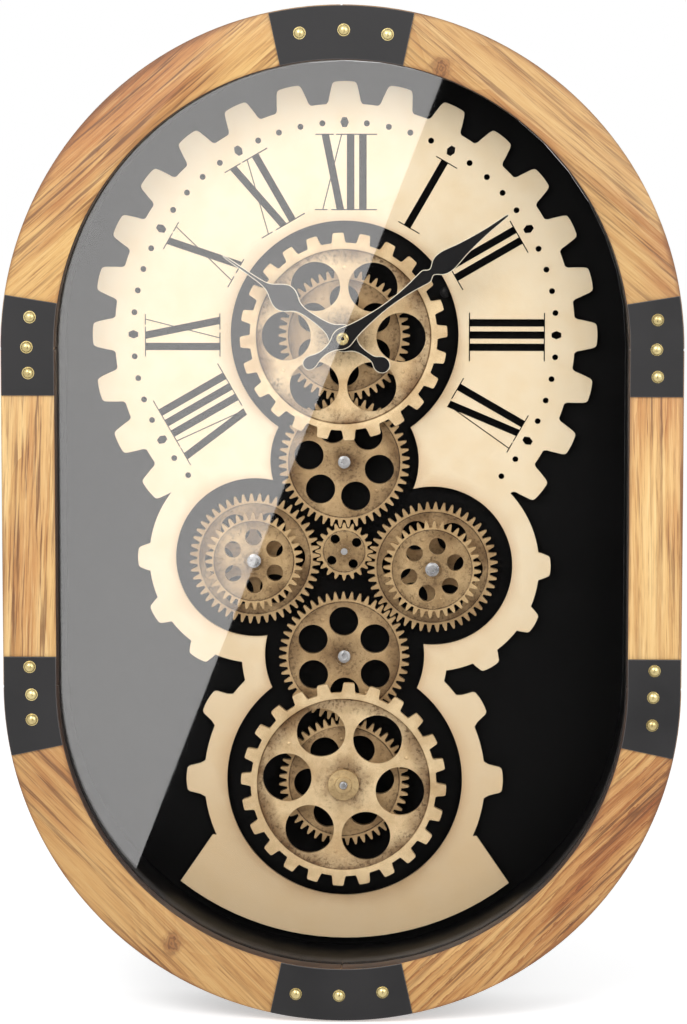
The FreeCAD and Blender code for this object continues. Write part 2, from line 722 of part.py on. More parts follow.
# The quartz movement hangs behind the board. Its neck passes through the board, where a nut holds it, and
# carries the top gear and wheel.
BOX_FRONT = "board_front - board_thick"
CELL_HEIGHT = "cell_wall + cell_radius + cell_gap"


def case_box(body, half_width, low, high, depth):
    box = new_sketch(body, "box")
    add_box(box, "-" + half_width, low, half_width, high)
    pad(body, box, depth)


def cell_bay(body, low, depth):
    """A bay in the back of a box, one wall above its lower edge, that holds a battery cell flush."""
    bay_depth = "2 * cell_radius + cell_gap"
    box_bar(body, "cell_bay", "cell_length + 2 * cell_gap", "2 * (cell_radius + cell_gap)", bay_depth,
            "-cell_length / 2 - cell_gap", low + " + cell_wall", depth + " - (" + bay_depth + ")")


def new_cell(label, z, depth):
    """A round cell that lies across its box, with a nub at one end."""
    cell = new_body(label, ("0", "-(" + BOX_FRONT + ") + " + depth + " - cell_radius", z))
    can_length = "cell_length - cell_nub_length"
    for name, radius, start, length in (("can", "cell_radius", "-cell_length / 2", can_length),
                                        ("nub", "cell_nub_radius", can_length + " - cell_length / 2",
                                         "cell_nub_length")):
        bar = cell.newObject("PartDesign::AdditivePrism", name)
        attach(bar, cell, "YZ_Plane", ("0", "0", start))
        for key, formula in (("Circumradius", radius), ("Polygon", "cell_sides"), ("Height", length)):
            bar.setExpression(key, sized(formula))
        cell.Tip = bar


NECK_LENGTH = "neck_tube_front - (" + BOX_FRONT + ")"
movement = new_body("movement_case", at_arbor("top", BOX_FRONT))
case_box(movement, "movement_side / 2", "-movement_side / 2", "movement_side / 2", "movement_depth")
round_bar(movement, "neck", "neck_tube_radius", NECK_LENGTH, front="-(" + NECK_LENGTH + ")")
bore_cut(movement, "neck_bore", "hour_pipe_radius + shaft_gap", NECK_LENGTH, front="-(" + NECK_LENGTH + ")")
cell_bay(movement, "-movement_side / 2", "movement_depth")
KNOB_FRONT = "movement_depth - knob_thick"
sided_bar(movement, "knob_recess", "knob_radius + knob_gap", "knob_sides", "knob_thick + knob_gap",
          y="knob_rise", front=KNOB_FRONT + " - knob_gap", cut=True)
bore_cut(movement, "stem_bore", "knob_stem_radius + running_gap", "knob_stem_length", y="knob_rise",
         front=KNOB_FRONT + " - knob_stem_length")
new_cell("movement_cell", "dial_rise - movement_side / 2 + " + CELL_HEIGHT, "movement_depth")
body = new_body("set_knob", ("0", "-(" + BOX_FRONT + ") + " + KNOB_FRONT, "dial_rise + knob_rise"))
sided_bar(body, "knob", "knob_radius", "knob_sides", "knob_thick")
STEM = "knob_stem_length - end_gap"
round_bar(body, "stem", "knob_stem_radius", STEM, front="-(" + STEM + ")")
body = new_body("neck_nut", at_arbor("top", "gear_front - gear_thick - end_gap"))
sided_bar(body, "nut", "boss_radius", "boss_sides", SHOULDER)
bore_cut(body, "thread", NECK_BORE, SHOULDER)

# The gear motor turns the pinion through the board. It has a cell of its own and a slide switch.
MOTOR_LOW = "-motor_drop - motor_height / 2"
motor = new_body("gear_motor", at_arbor("pinion", BOX_FRONT))
case_box(motor, "motor_width / 2", MOTOR_LOW, "-motor_drop + motor_height / 2", "motor_depth")
cell_bay(motor, MOTOR_LOW, "motor_depth")
SLOT_WIDTH = "switch_width + switch_travel + 2 * switch_gap"
SLOT_HEIGHT = "switch_height + 2 * switch_gap"
box_bar(motor, "switch_slot", SLOT_WIDTH, SLOT_HEIGHT, "switch_depth", "-(" + SLOT_WIDTH + ") / 2",
        "-motor_drop - (" + SLOT_HEIGHT + ") / 2", "motor_depth - switch_depth")
new_cell("motor_cell", PINION_Z + " + " + MOTOR_LOW + " + " + CELL_HEIGHT, "motor_depth")
SWITCH_FRONT = "-(" + BOX_FRONT + ") + motor_depth - switch_depth + switch_gap"
body = new_body("switch_slider", ("-switch_travel / 2", SWITCH_FRONT, PINION_Z + " - motor_drop"))
slider = new_sketch(body, "slider")
add_box(slider, "-switch_width / 2", "-switch_height / 2", "switch_width / 2", "switch_height / 2")
pad(body, slider, "switch_depth - switch_gap + switch_proud")
body = new_body("motor_shaft", at_arbor("pinion", "gear_front + stud_proud"))
round_bar(body, "shaft", "pinion_bore", "gear_front + stud_proud - (" + BOX_FRONT + ") - end_gap")

# A wooden block behind the board carries the steel hanger, whose keyhole drops over a screw in the wall.
HANGER_Z = UPPER + " + " + RING_INNER + " - hanger_drop"
HANGER_BLOCK = BOX_FRONT + " - hanger_thick"
body = new_body("hanger_block", ("0", "-(" + BOX_FRONT + ")", HANGER_Z))
case_box(body, "hanger_block_width / 2", "-hanger_block_height / 2", "hanger_block_height / 2", HANGER_BLOCK)
box_bar(body, "head_pocket", "hanger_pocket_width", "hanger_pocket_height", "hanger_pocket_depth",
        "-hanger_pocket_width / 2", "-hanger_pocket_height / 2", HANGER_BLOCK + " - hanger_pocket_depth")
body = new_body("wall_hanger", ("0", "-hanger_thick", HANGER_Z))
strip = new_sketch(body, "strip")
add_box(strip, "-hanger_width / 2", "-hanger_height / 2", "hanger_width / 2", "hanger_height / 2")
pad(body, strip, "hanger_thick")
round_bar(body, "keyhole", "hanger_hole", "hanger_thick", y="-hanger_slot_length / 2", cut=True)
bore_cut(body, "slot_end", "hanger_slot", "hanger_thick", y="hanger_slot_length / 2")
box_bar(body, "slot", "2 * hanger_slot", "hanger_slot_length", "hanger_thick",
        "-hanger_slot", "-hanger_slot_length / 2")

doc.recompute()
failed = [item.Name for item in doc.Objects if "Invalid" in item.State or "Error" in item.State]
if failed:
    raise RuntimeError("not built: " + ", ".join(failed))
for piece in pieces:
    if piece.Shape.isNull() or not piece.Shape.isValid():
        raise RuntimeError("bad shape: " + piece.Label)

os.makedirs("parts", exist_ok=True)
for piece in pieces:
    piece.Shape.exportStep(os.path.join("parts", piece.Label + ".step"))
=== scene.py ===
import json
import math
import bpy
from mathutils import Matrix, Vector

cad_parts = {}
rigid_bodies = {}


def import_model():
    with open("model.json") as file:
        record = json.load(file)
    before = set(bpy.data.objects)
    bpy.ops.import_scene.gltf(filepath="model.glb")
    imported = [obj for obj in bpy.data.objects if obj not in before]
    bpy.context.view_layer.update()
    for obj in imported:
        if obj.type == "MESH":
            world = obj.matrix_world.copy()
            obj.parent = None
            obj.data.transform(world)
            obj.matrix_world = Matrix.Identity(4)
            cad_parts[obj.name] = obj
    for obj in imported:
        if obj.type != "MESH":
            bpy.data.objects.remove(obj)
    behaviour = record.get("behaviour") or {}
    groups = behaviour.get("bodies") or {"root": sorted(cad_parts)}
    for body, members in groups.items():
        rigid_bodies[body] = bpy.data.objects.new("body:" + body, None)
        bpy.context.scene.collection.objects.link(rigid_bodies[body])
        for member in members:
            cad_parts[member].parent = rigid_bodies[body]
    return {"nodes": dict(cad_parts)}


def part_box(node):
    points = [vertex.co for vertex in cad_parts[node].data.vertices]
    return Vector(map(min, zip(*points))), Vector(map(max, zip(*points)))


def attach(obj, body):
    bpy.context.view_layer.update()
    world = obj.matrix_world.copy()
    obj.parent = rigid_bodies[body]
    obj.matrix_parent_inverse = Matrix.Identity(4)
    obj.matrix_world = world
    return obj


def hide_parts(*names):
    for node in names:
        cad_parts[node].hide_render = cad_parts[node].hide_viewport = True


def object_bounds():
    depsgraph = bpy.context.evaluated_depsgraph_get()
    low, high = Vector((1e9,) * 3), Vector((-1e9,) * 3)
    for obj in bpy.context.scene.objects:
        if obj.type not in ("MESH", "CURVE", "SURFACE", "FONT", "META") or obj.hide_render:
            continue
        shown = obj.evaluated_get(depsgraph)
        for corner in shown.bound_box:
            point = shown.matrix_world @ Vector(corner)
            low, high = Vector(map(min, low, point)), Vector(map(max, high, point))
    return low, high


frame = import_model()
cad_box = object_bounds()


# The wooden ring: four quarter arcs and two rails of softwood, butted end to end. Each was sawn with its grain
# another way, wire brushed, singed along the hard grain and varnished a honey colour. The edge that looks in
# over the glass is stained dark brown.
def only(piece):
    """Make a piece the only one that the next operators act on."""
    bpy.ops.object.select_all(action="DESELECT")
    piece.select_set(True)
    bpy.context.view_layer.objects.active = piece


def select_whole():
    bpy.ops.mesh.select_all(action="SELECT")


def open_up(piece):
    """Begin to edit a piece, with its whole mesh selected."""
    only(piece)
    bpy.ops.object.mode_set(mode="EDIT")
    select_whole()


def close_up():
    bpy.ops.object.mode_set(mode="OBJECT")


def add_object(name, data):
    piece = bpy.data.objects.new(name, data)
    bpy.context.collection.objects.link(piece)
    return piece


def copy_of(node, name):
    """A new piece from a CAD node, with its loose triangles joined into whole faces."""
    piece = add_object(name, frame["nodes"][node].data.copy())
    piece.data.materials.clear()
    open_up(piece)
    bpy.ops.mesh.customdata_custom_splitnormals_clear()
    bpy.ops.mesh.remove_doubles(threshold=1e-6)
    bpy.ops.mesh.dissolve_limited(angle_limit=math.radians(0.5))
    close_up()
    return piece


def apply_modifier(piece, kind, **settings):
    only(piece)
    modifier = piece.modifiers.new(kind.lower(), kind)
    for key, value in settings.items():
        setattr(modifier, key, value)
    bpy.ops.object.modifier_apply(modifier=modifier.name)


def hold_slots(piece, count):
    """Keep places for a piece's finishes with blanks, which differ so that a join leaves them apart."""
    for number in range(len(piece.data.materials), count):
        name = "blank_%d" % number
        piece.data.materials.append(bpy.data.materials.get(name) or bpy.data.materials.new(name))


def round_edges(piece, width, finish=-1, segments=2, angle=35):
    """Round the edges that are sharper than an angle. A finish numbered 0 or up is given to the new faces."""
    hold_slots(piece, finish + 1)
    apply_modifier(piece, "BEVEL", width=width, segments=segments, limit_method="ANGLE",
                   angle_limit=math.radians(angle), material=finish)


def fit(piece, body, slot, *nodes, finishes=(), smooth=20):
    """Finish a piece: its materials, smooth shading, the body it rides on and the nodes it stands for."""
    hold_slots(piece, len(finishes))
    for number, finish in enumerate(finishes):
        piece.data.materials[number] = finish
    only(piece)
    bpy.ops.object.shade_smooth_by_angle(angle=math.radians(smooth))
    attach(piece, body)
    if nodes:
        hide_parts(*nodes)


def tone(red, green, blue):
    """A colour as mixed on a 0 to 255 scale, made linear for the shader."""
    return [*(((part / 255 + 0.055) / 1.055) ** 2.4 for part in (red, green, blue)), 1]


def feed(tree, node, sockets):
    """Give each socket of a node its plain value, or a link from another node's output."""
    for key, value in sockets.items():
        if isinstance(value, bpy.types.NodeSocket):
            tree.links.new(value, node.inputs[key])
        else:
            node.inputs[key].default_value = value


def put(tree, kind, sockets=None, **settings):
    node = tree.nodes.new("ShaderNode" + kind)
    for key, value in settings.items():
        setattr(node, key, value)
    feed(tree, node, sockets or {})
    return node


def maths(tree, operation, *values):
    return put(tree, "Math", dict(enumerate(values)), operation=operation).outputs[0]


def times(tree, first, second):
    return maths(tree, "MULTIPLY", first, second)


def plus(tree, first, second):
    return maths(tree, "ADD", first, second)


def minus(tree, first, second):
    return maths(tree, "SUBTRACT", first, second)


def stretched(tree, vector, scale):
    return put(tree, "VectorMath", {0: vector, 1: scale}, operation="MULTIPLY").outputs[0]


def noise(tree, vector, scale, detail=3, roughness=0.55):
    """Noise on coordinates that are stretched by one factor, or by one for each axis."""
    if not isinstance(scale, tuple):
        scale = (scale, scale, scale)
    sockets = {"Vector": stretched(tree, vector, scale), "Scale": 1, "Detail": detail, "Roughness": roughness}
    return put(tree, "TexNoise", sockets).outputs[0]


def spread(tree, value, low, high, to_low=0, to_high=1):
    sockets = {"Value": value, "From Min": low, "From Max": high, "To Min": to_low, "To Max": to_high}
    return put(tree, "MapRange", sockets).outputs[0]


def mixed(tree, factor, first, second, blend="MIX"):
    sockets = {0: factor, 6: first, 7: second}
    return put(tree, "Mix", sockets, data_type="RGBA", blend_type=blend).outputs[2]


def ramp(tree, factor, *stops):
    node = put(tree, "ValToRGB", {"Fac": factor})
    elements = node.color_ramp.elements
    for position, colour in stops[2:]:
        elements.new(position)
    for element, (position, colour) in zip(elements, stops):
        element.position = position
        element.color = colour
    return node.outputs["Color"]


def effect(name, inputs, outputs=("Color", "Roughness", "Height")):
    """An empty shader node group. Its inputs are named with their kinds."""
    tree = bpy.data.node_groups.new(name, "ShaderNodeTree")
    for label, kind in inputs.items():
        tree.interface.new_socket(label, in_out="INPUT", socket_type="NodeSocket" + kind)
    for label in outputs:
        kind = "Color" if label == "Color" else "Float"
        tree.interface.new_socket(label, in_out="OUTPUT", socket_type="NodeSocket" + kind)
    return tree, tree.nodes.new("NodeGroupInput").outputs


def give(tree, **results):
    """Lead the results to the group's outputs."""
    end = tree.nodes.new("NodeGroupOutput")
    for key, value in results.items():
        tree.links.new(value, end.inputs[key])


def used(tree, group, **sockets):
    """Place a group in a material, for what it puts out."""
    node = tree.nodes.new("ShaderNodeGroup")
    node.node_tree = group
    feed(tree, node, sockets)
    return node.outputs


def new_finish(name, **plain):
    """A material whose plain shader values are set on the shader itself."""
    finish = bpy.data.materials.new(name)
    finish.use_nodes = True
    tree = finish.node_tree
    shader = tree.nodes["Principled BSDF"]
    for key, value in plain.items():
        shader.inputs[key.replace("_", " ")].default_value = value
    return finish, tree, shader


def lead(tree, shader, colour, roughness=None, height=None, depth=0.0004, strength=0.5):
    """Lead a finish's colour, its roughness and its fine relief to the shader."""
    for key, value in (("Base Color", colour), ("Roughness", roughness)):
        if value is not None:
            tree.links.new(value, shader.inputs[key])
    if height is not None:
        bump = put(tree, "Bump", {"Strength": strength, "Distance": depth, "Height": height})
        tree.links.new(bump.outputs["Normal"], shader.inputs["Normal"])


def object_place(tree):
    return put(tree, "TexCoord").outputs["Object"]


# The grain runs along X of its vector. Place is the unturned position, for the knot and for the singed edges
# of the ring. The ring's middle line is this far out, and the arcs begin at the ends of the rails.
rail_low, rail_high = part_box("frame_right_rail")
RING_MIDDLE = (rail_low[0] + rail_high[0]) / 2
RAIL_END = rail_high[2]
pine, given = effect("pine_grain", {"Grain": "Vector", "Place": "Vector", "Knot": "Vector", "Stripes": "Float",
                                    "Singe": "Float", "Stain": "Color"}, ("Color", "Height"))
knot_reach = put(pine, "VectorMath", {0: given["Place"], 1: given["Knot"]},
                 operation="DISTANCE").outputs["Value"]
swirl = spread(pine, knot_reach, 0.004, 0.03, 0.016, 0)
axes = put(pine, "SeparateXYZ", {0: given["Grain"]}).outputs
sway = times(pine, minus(pine, noise(pine, given["Grain"], (5, 16, 16), 2), 0.5), 0.03)
across = plus(pine, plus(pine, axes[2], sway), swirl)
rings = put(pine, "CombineXYZ", {0: times(pine, axes[0], 0.12), 1: axes[1], 2: across}).outputs[0]
broad = put(pine, "TexWave", {"Vector": rings, "Scale": 15, "Distortion": 1.6, "Detail": 2, "Detail Scale": 9},
            bands_direction="Z", wave_profile="SAW").outputs["Fac"]
narrow = put(pine, "TexWave", {"Vector": rings, "Scale": 56, "Distortion": 2, "Detail": 2, "Detail Scale": 22},
             bands_direction="Z", wave_profile="SAW").outputs["Fac"]
fibre = noise(pine, given["Grain"], (32, 1100, 1100), 4, 0.65)
streak = noise(pine, given["Grain"], (9, 230, 230), 3, 0.6)
patch = noise(pine, given["Grain"], (7, 30, 30), 3)
ring_mark = maths(pine, "MAXIMUM", times(pine, broad, spread(pine, patch, 0.35, 0.65, 0.35, 0.85)),
                  times(pine, narrow, given["Stripes"]))
honey = ramp(pine, ring_mark, (0, tone(232, 192, 134)), (0.45, tone(224, 180, 120)),
             (0.75, tone(204, 152, 92)), (0.92, tone(172, 118, 66)), (1, tone(140, 90, 48)))
honey = mixed(pine, spread(pine, streak, 0.5, 0.7, 0, 0.6), honey, tone(186, 132, 76))
honey = mixed(pine, spread(pine, streak, 0.3, 0.46, 0.5, 0), honey, tone(242, 208, 154))
singed = mixed(pine, times(pine, spread(pine, patch, 0.48, 0.7), given["Singe"]), honey,
               mixed(pine, 1.0, honey, tone(206, 152, 98), "MULTIPLY"))
pores = spread(pine, noise(pine, given["Grain"], (14, 520, 520), 4, 0.6), 0.54, 0.62)
brushed = mixed(pine, spread(pine, fibre, 0.54, 0.72, 0, 0.7), singed, tone(140, 90, 46))
brushed = mixed(pine, spread(pine, fibre, 0.3, 0.47, 0.35, 0), brushed, tone(248, 220, 170))
dark_pores = times(pine, pores, spread(pine, patch, 0.4, 0.6, 0.25, 0.85))
brushed = mixed(pine, dark_pores, brushed, tone(110, 66, 32))
sides = put(pine, "SeparateXYZ", {0: given["Place"]}).outputs
above = maths(pine, "MAXIMUM", minus(pine, maths(pine, "ABSOLUTE", sides[2]), RAIL_END), 0)
reach = maths(pine, "SQRT", plus(pine, times(pine, sides[0], sides[0]), times(pine, above, above)))
rim = plus(pine, maths(pine, "ABSOLUTE", minus(pine, reach, RING_MIDDLE)),
           spread(pine, patch, 0.35, 0.7, -0.0015, 0.0015))
edged = mixed(pine, spread(pine, rim, 0.0135, 0.0162, 0, 0.75), brushed, tone(128, 78, 38))
knot_edge = plus(pine, knot_reach,
                 spread(pine, noise(pine, given["Place"], 160, 3), 0.3, 0.7, -0.002, 0.002))
knot_rings = spread(pine, maths(pine, "SINE", times(pine, knot_edge, 3300)), -1, 1)
knot_wood = mixed(pine, knot_rings, tone(118, 72, 38), tone(170, 114, 66))
core = mixed(pine, spread(pine, knot_edge, 0.0035, 0.0078, 0.85, 0), edged, knot_wood)
core = mixed(pine, 1.0, core, given["Stain"], "MULTIPLY")
relief = minus(pine, times(pine, ring_mark, 0.7), times(pine, fibre, 0.5))
give(pine, Color=core, Height=relief)

inner_stain, tree, shader = new_finish("inner_edge_stain", Roughness=0.55)
streaks = noise(tree, object_place(tree), (60, 60, 14), 4)
lead(tree, shader, ramp(tree, streaks, (0.3, tone(38, 25, 18)), (0.7, tone(72, 47, 30))), height=streaks)

# Each piece's node, the angle of its grain from level, a shift to other growth rings, how striped and how
# singed it is, its stain, and where a knot shows. A piece without one has its knot far outside the clock.
NO_KNOT = (9, 9, 9)
RING_PIECES = (
    ("frame_top_left", 41, (0.3, 0.1, 0.02), 0.55, 0.7, (228, 222, 200), NO_KNOT),
    ("frame_top_right", -40, (0.7, 0.4, 0.13), 0.4, 0.9, (214, 208, 192), (0.058, -0.084, 0.263)),
    ("frame_left_rail", 88, (1.1, 0.7, 0.31), 0.35, 0.5, (238, 238, 228), NO_KNOT),
    ("frame_right_rail", 91, (1.6, 0.2, 0.44), 0.4, 0.6, (240, 240, 230), NO_KNOT),
    ("frame_bottom_left", -45, (2.1, 0.9, 0.57), 0.5, 0.9, (212, 202, 182), (-0.101, -0.084, -0.254)),
    ("frame_bottom_right", 44, (2.6, 0.5, 0.71), 0.95, 0.8, (218, 206, 184), NO_KNOT),
)
for node, grain_angle, slide, stripes, singe, stain, knot in RING_PIECES:
    finish, tree, shader = new_finish("pine_" + node, Coat_Weight=0.12, Coat_Roughness=0.35)
    place = object_place(tree)
    turned = put(tree, "Mapping", {"Vector": place, "Location": slide,
                                   "Rotation": (0, math.radians(grain_angle), 0)}).outputs[0]
    wood = used(tree, pine, Grain=turned, Place=place, Knot=knot, Stripes=stripes, Singe=singe,
                Stain=tone(*stain))
    lead(tree, shader, wood["Color"], spread(tree, wood["Height"], -0.3, 0.6, 0.38, 0.6), wood["Height"],
         0.0006, 0.55)
    piece = copy_of(node, "ring_" + node[6:])
    round_edges(piece, 0.0011, segments=3)
    for face in piece.data.polygons:
        level = max(-RAIL_END, min(RAIL_END, face.center.z))
        outward = Vector((face.center.x, 0, face.center.z - level)).normalized()
        face.material_index = int(face.normal.dot(outward) < -0.6)
    fit(piece, "case", "oak", node, finishes=(finish, inner_stain))


# Six steel plates are nailed flat over the joints of the ring. They are sprayed satin black, and the paint
# has a fine orange peel. Their rounded edges are coloured a lighter grey.
sprayed, given = effect("sprayed_paint", {"Place": "Vector", "Paint": "Color", "Rubbed": "Color"})
cloud = noise(sprayed, given["Place"], 22, 4)
peel = noise(sprayed, given["Place"], 900, 2)
fleck = spread(sprayed, noise(sprayed, given["Place"], 420, 3, 0.7), 0.62, 0.78)
coat = mixed(sprayed, spread(sprayed, cloud, 0.35, 0.75, 0, 0.5), given["Paint"], given["Rubbed"])
coat = mixed(sprayed, times(sprayed, fleck, 0.25), coat, given["Rubbed"])
give(sprayed, Color=coat, Roughness=spread(sprayed, cloud, 0.3, 0.7, 0.42, 0.58), Height=peel)


def paint_finish(name, paint, rubbed, **plain):
    finish, tree, shader = new_finish(name, **plain)
    skin = used(tree, sprayed, Place=object_place(tree), Paint=paint, Rubbed=rubbed)
    lead(tree, shader, skin["Color"], skin["Roughness"], skin["Height"], 0.00008, 0.4)
    return finish


plate_paint = paint_finish("satin_black_plate", tone(27, 26, 27), tone(42, 40, 41), Specular_IOR_Level=0.35)
# The rounded edges of the plates are coloured a lighter grey.
plate_edge = paint_finish("lighter_plate_edge", tone(70, 66, 66), tone(96, 90, 86))
for node in ("plate_top", "plate_bottom", "plate_upper_left", "plate_upper_right", "plate_lower_left",
             "plate_lower_right"):
    piece = copy_of(node, "joint_" + node)
    round_edges(piece, 0.0003, finish=1)
    fit(piece, "case", "black_plate", node, finishes=(plate_paint, plate_edge))


# Eighteen upholstery nails, three to a plate. Each is a stamped brass dome with a thin flared rim, driven in
# by hand, so the rows aren't quite straight.
worn, given = effect("worn_brass", {"Place": "Vector", "Bright": "Color", "Tarnish": "Color",
                                    "Grime": "Float"})
mottle = noise(worn, given["Place"], 55, 4, 0.6)
speck = noise(worn, given["Place"], 520, 3, 0.7)
pits = spread(worn, speck, 0.56, 0.7)
scratch = noise(worn, given["Place"], (90, 60, 1300), 2)
skin = mixed(worn, spread(worn, mottle, 0.38, 0.68, 0, 0.65), given["Bright"], given["Tarnish"])
# Grime darkens pits, mottles and specks: real grime on the nails and cap, painted shade in the recesses of the
# gears.
skin = mixed(worn, times(worn, pits, plus(worn, times(worn, given["Grime"], 0.75), 0.25)), skin,
             given["Tarnish"])
skin = mixed(worn, times(worn, given["Grime"], spread(worn, mottle, 0.25, 0.6, 0.35, 0.95)), skin,
             mixed(worn, 1.0, given["Tarnish"], tone(138, 118, 98), "MULTIPLY"))
skin = mixed(worn, times(worn, given["Grime"], spread(worn, speck, 0.5, 0.62, 0, 0.8)), skin,
             tone(70, 50, 30))
give(worn, Color=skin, Roughness=spread(worn, speck, 0.35, 0.7, 0.36, 0.56),
     Height=plus(worn, times(worn, speck, 0.6), times(worn, scratch, 0.25)))


def worn_finish(name, metal, bright, tarnish, grime_and_shade, depth, strength=0.5, shine=None):
    """A worn metal. Depth and strength are those of its relief, and shine is its range of roughness."""
    finish, tree, shader = new_finish(name, Metallic=metal)
    skin = used(tree, worn, Place=object_place(tree), Bright=tone(*bright), Tarnish=tone(*tarnish),
                Grime=grime_and_shade)
    roughness = spread(tree, skin["Roughness"], 0.36, 0.56, *shine) if shine else skin["Roughness"]
    lead(tree, shader, skin["Color"], roughness, skin["Height"], depth, strength)
    return finish


def half_ball(name, radius, segments, closed=False):
    """The front half of a ball, left open in edit mode with all of it selected."""
    bpy.ops.object.select_all(action="DESELECT")
    bpy.ops.mesh.primitive_uv_sphere_add(segments=segments, ring_count=segments // 2, radius=radius)
    piece = bpy.context.object
    piece.name = name
    piece.data.transform(Matrix.Rotation(math.radians(90), 4, "X"))
    open_up(piece)
    bpy.ops.mesh.bisect(plane_co=(0, 0, 0), plane_no=(0, 1, 0), clear_outer=True, use_fill=closed)
    return piece


def resize(x, y, z):
    """Resize what is selected about the piece's own middle."""
    bpy.ops.transform.resize(value=(x, y, z), center_override=(0, 0, 0))


def shift(piece, x, y, z):
    piece.data.transform(Matrix.Translation((x, y, z)))


def front_of(node):
    """How far the front of a CAD node stands before the back of the clock."""
    return -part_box(node)[0][1]


nail_brass = worn_finish("nail_brass", metal=0.8, bright=(226, 208, 150), tarnish=(168, 146, 92), grime_and_shade=0.1,
                         depth=0.00005, shine=(0.22, 0.36))
nail = half_ball("nail", 0.0032, 32)
bpy.ops.mesh.extrude_edges_move(TRANSFORM_OT_translate={"value": (0, 0, 0)})
resize(1.14, 1, 1.14)
bpy.ops.mesh.extrude_edges_move(TRANSFORM_OT_translate={"value": (0, 0.0004, 0)})
select_whole()
resize(1, 0.68, 1)
bpy.ops.mesh.normals_make_consistent(inside=False)
close_up()

# The middle of each nail, in millimetres across and up from the middle of the clock.
NAIL_PLACES = (("top", ((-24.3, 283.5), (1.4, 285.3), (26.8, 282.7))),
               ("bottom", ((-27.1, -283.5), (-1.4, -284.4), (24.4, -282.1))),
               ("upper_left", ((-182.4, 118.6), (-184.4, 101), (-183.6, 85.8))),
               ("upper_right", ((184.3, 117.6), (183.9, 100.3), (184.5, 84.4))),
               ("lower_left", ((-184.1, -88), (-183.1, -104.5), (-183, -119.5))),
               ("lower_right", ((184.1, -88.7), (183.4, -104.5), (183, -121))))
NAIL_FRONT = front_of("plate_top") + 0.0002
for plate, places in NAIL_PLACES:
    for number, (across, up) in enumerate(places, 1):
        piece = add_object("nail_%s_%d" % (plate, number), nail.data.copy())
        shift(piece, across / 1000, -NAIL_FRONT, up / 1000)
        fit(piece, "case", "antique_brass", finishes=(nail_brass,), smooth=60)
bpy.data.objects.remove(nail)


# The pane is 3 mm float glass, clamped between the ring and the drum. It mirrors a little of the bright card
# that stands to its left.
def smooth_finish(name, scale, dark, light, shine, **plain):
    """A smooth finish that varies a little, between two colours and within a range of roughness."""
    finish, tree, shader = new_finish(name, **plain)
    smear = noise(tree, object_place(tree), scale, 3)
    lead(tree, shader, ramp(tree, smear, (0.3, tone(*dark)), (0.7, tone(*light))),
         spread(tree, smear, 0.3, 0.7, *shine))
    return finish


clear_glass = smooth_finish("float_glass", scale=9, dark=(252, 252, 253), light=(255, 255, 255),
                            shine=(0.008, 0.02), Metallic=1, Alpha=0.09)
piece = copy_of("glass_pane", "pane")
round_edges(piece, 0.0004)
fit(piece, "case", "clear_glass", "glass_pane", finishes=(clear_glass,))


# The drum is the deep wall of the case and the board closes it behind the gears. Both are fibreboard, sprayed
# a flat black. One black screw shows on the board at the right of the top wheel.
drum_paint = paint_finish("drum_black", tone(15, 14, 14), tone(25, 24, 24), Specular_IOR_Level=0.12)
board_paint = paint_finish("board_black", tone(7, 6, 6), tone(13, 12, 12), Specular_IOR_Level=0.1)
for node, finish in (("drum", drum_paint), ("back_board", board_paint)):
    piece = copy_of(node, "case_" + node)
    round_edges(piece, 0.0006)
    fit(piece, "case", "black_board", node, finishes=(finish,))


def combine(piece, tool, operation, **settings):
    """Add a tool piece's solid to a piece, or cut it out, and drop the tool."""
    apply_modifier(piece, "BOOLEAN", object=tool, operation=operation, solver="EXACT", **settings)
    bpy.data.objects.remove(tool)


def cut_cross(screw, length, level, depth):
    """The crossed slots of a screw, as long, at the level and as deep as given."""
    for wide, tall in ((length, 0.0007), (0.0007, length)):
        bpy.ops.mesh.primitive_cube_add(size=1, location=(0, level, 0), scale=(wide, depth, tall))
        combine(screw, bpy.context.object, "DIFFERENCE")


piece = half_ball("board_screw", 0.0033, 24, closed=True)
select_whole()
resize(1, 0.55, 1)
close_up()
cut_cross(piece, 0.003, -0.0016, 0.0013)
shift(piece, 0.0602, -front_of("back_board"), 0.130)
fit(piece, "case", "black_plate", finishes=(plate_paint,))


# The toothed sheet behind the hands: a dial of 2 mm steel plated champagne gold and stamped like a large
# cog, with two lobes round the side gears, a neck, a toothed ring round the bottom wheel and a skirt.
# The numerals and minute marks are pierced. Painted shade darkens the plate round the rims of the windows, and
# painted shade turns it a deeper gold towards the bottom.
def start_vertex(name, x, z):
    """Begin a piece in edit mode from a plane that is merged to one vertex."""
    bpy.ops.object.select_all(action="DESELECT")
    bpy.ops.mesh.primitive_plane_add(size=0.001, location=(0, 0, 0))
    piece = bpy.context.object
    piece.name = name
    open_up(piece)
    bpy.ops.mesh.select_mode(type="VERT")
    select_whole()
    bpy.ops.mesh.merge(type="CENTER")
    select_whole()
    bpy.ops.transform.translate(value=(x, 0, z))
    return piece


def extrude(x, y, z):
    bpy.ops.mesh.extrude_region_move(TRANSFORM_OT_translate={"value": (x, y, z)})


def pull(rise, width=1):
    """Extrude what is selected upwards, then draw it in or out about the piece's own centre line."""
    extrude(0, 0, rise)
    resize(width, 1, 1)


def spin(steps, angle, copies=False):
    """Spin what is selected about the piece's own axis, to one surface or to copies."""
    bpy.ops.mesh.spin(steps=steps, angle=angle, dupli=copies, center=(0, 0, 0), axis=(0, 1, 0))


def thicken(depth):
    """Give an open flat mesh its depth towards the wall, and end the editing."""
    select_whole()
    extrude(0, depth, 0)
    select_whole()
    bpy.ops.mesh.normals_make_consistent(inside=False)
    close_up()


def join(first, *others):
    """Join pieces to the first. One without a finish takes the finish that the first one starts with."""
    bpy.ops.object.select_all(action="DESELECT")
    for piece in (first, *others):
        if first.data.materials and not piece.data.materials:
            piece.data.materials.append(first.data.materials[0])
        piece.select_set(True)
    bpy.context.view_layer.objects.active = first
    bpy.ops.object.join()
    return first


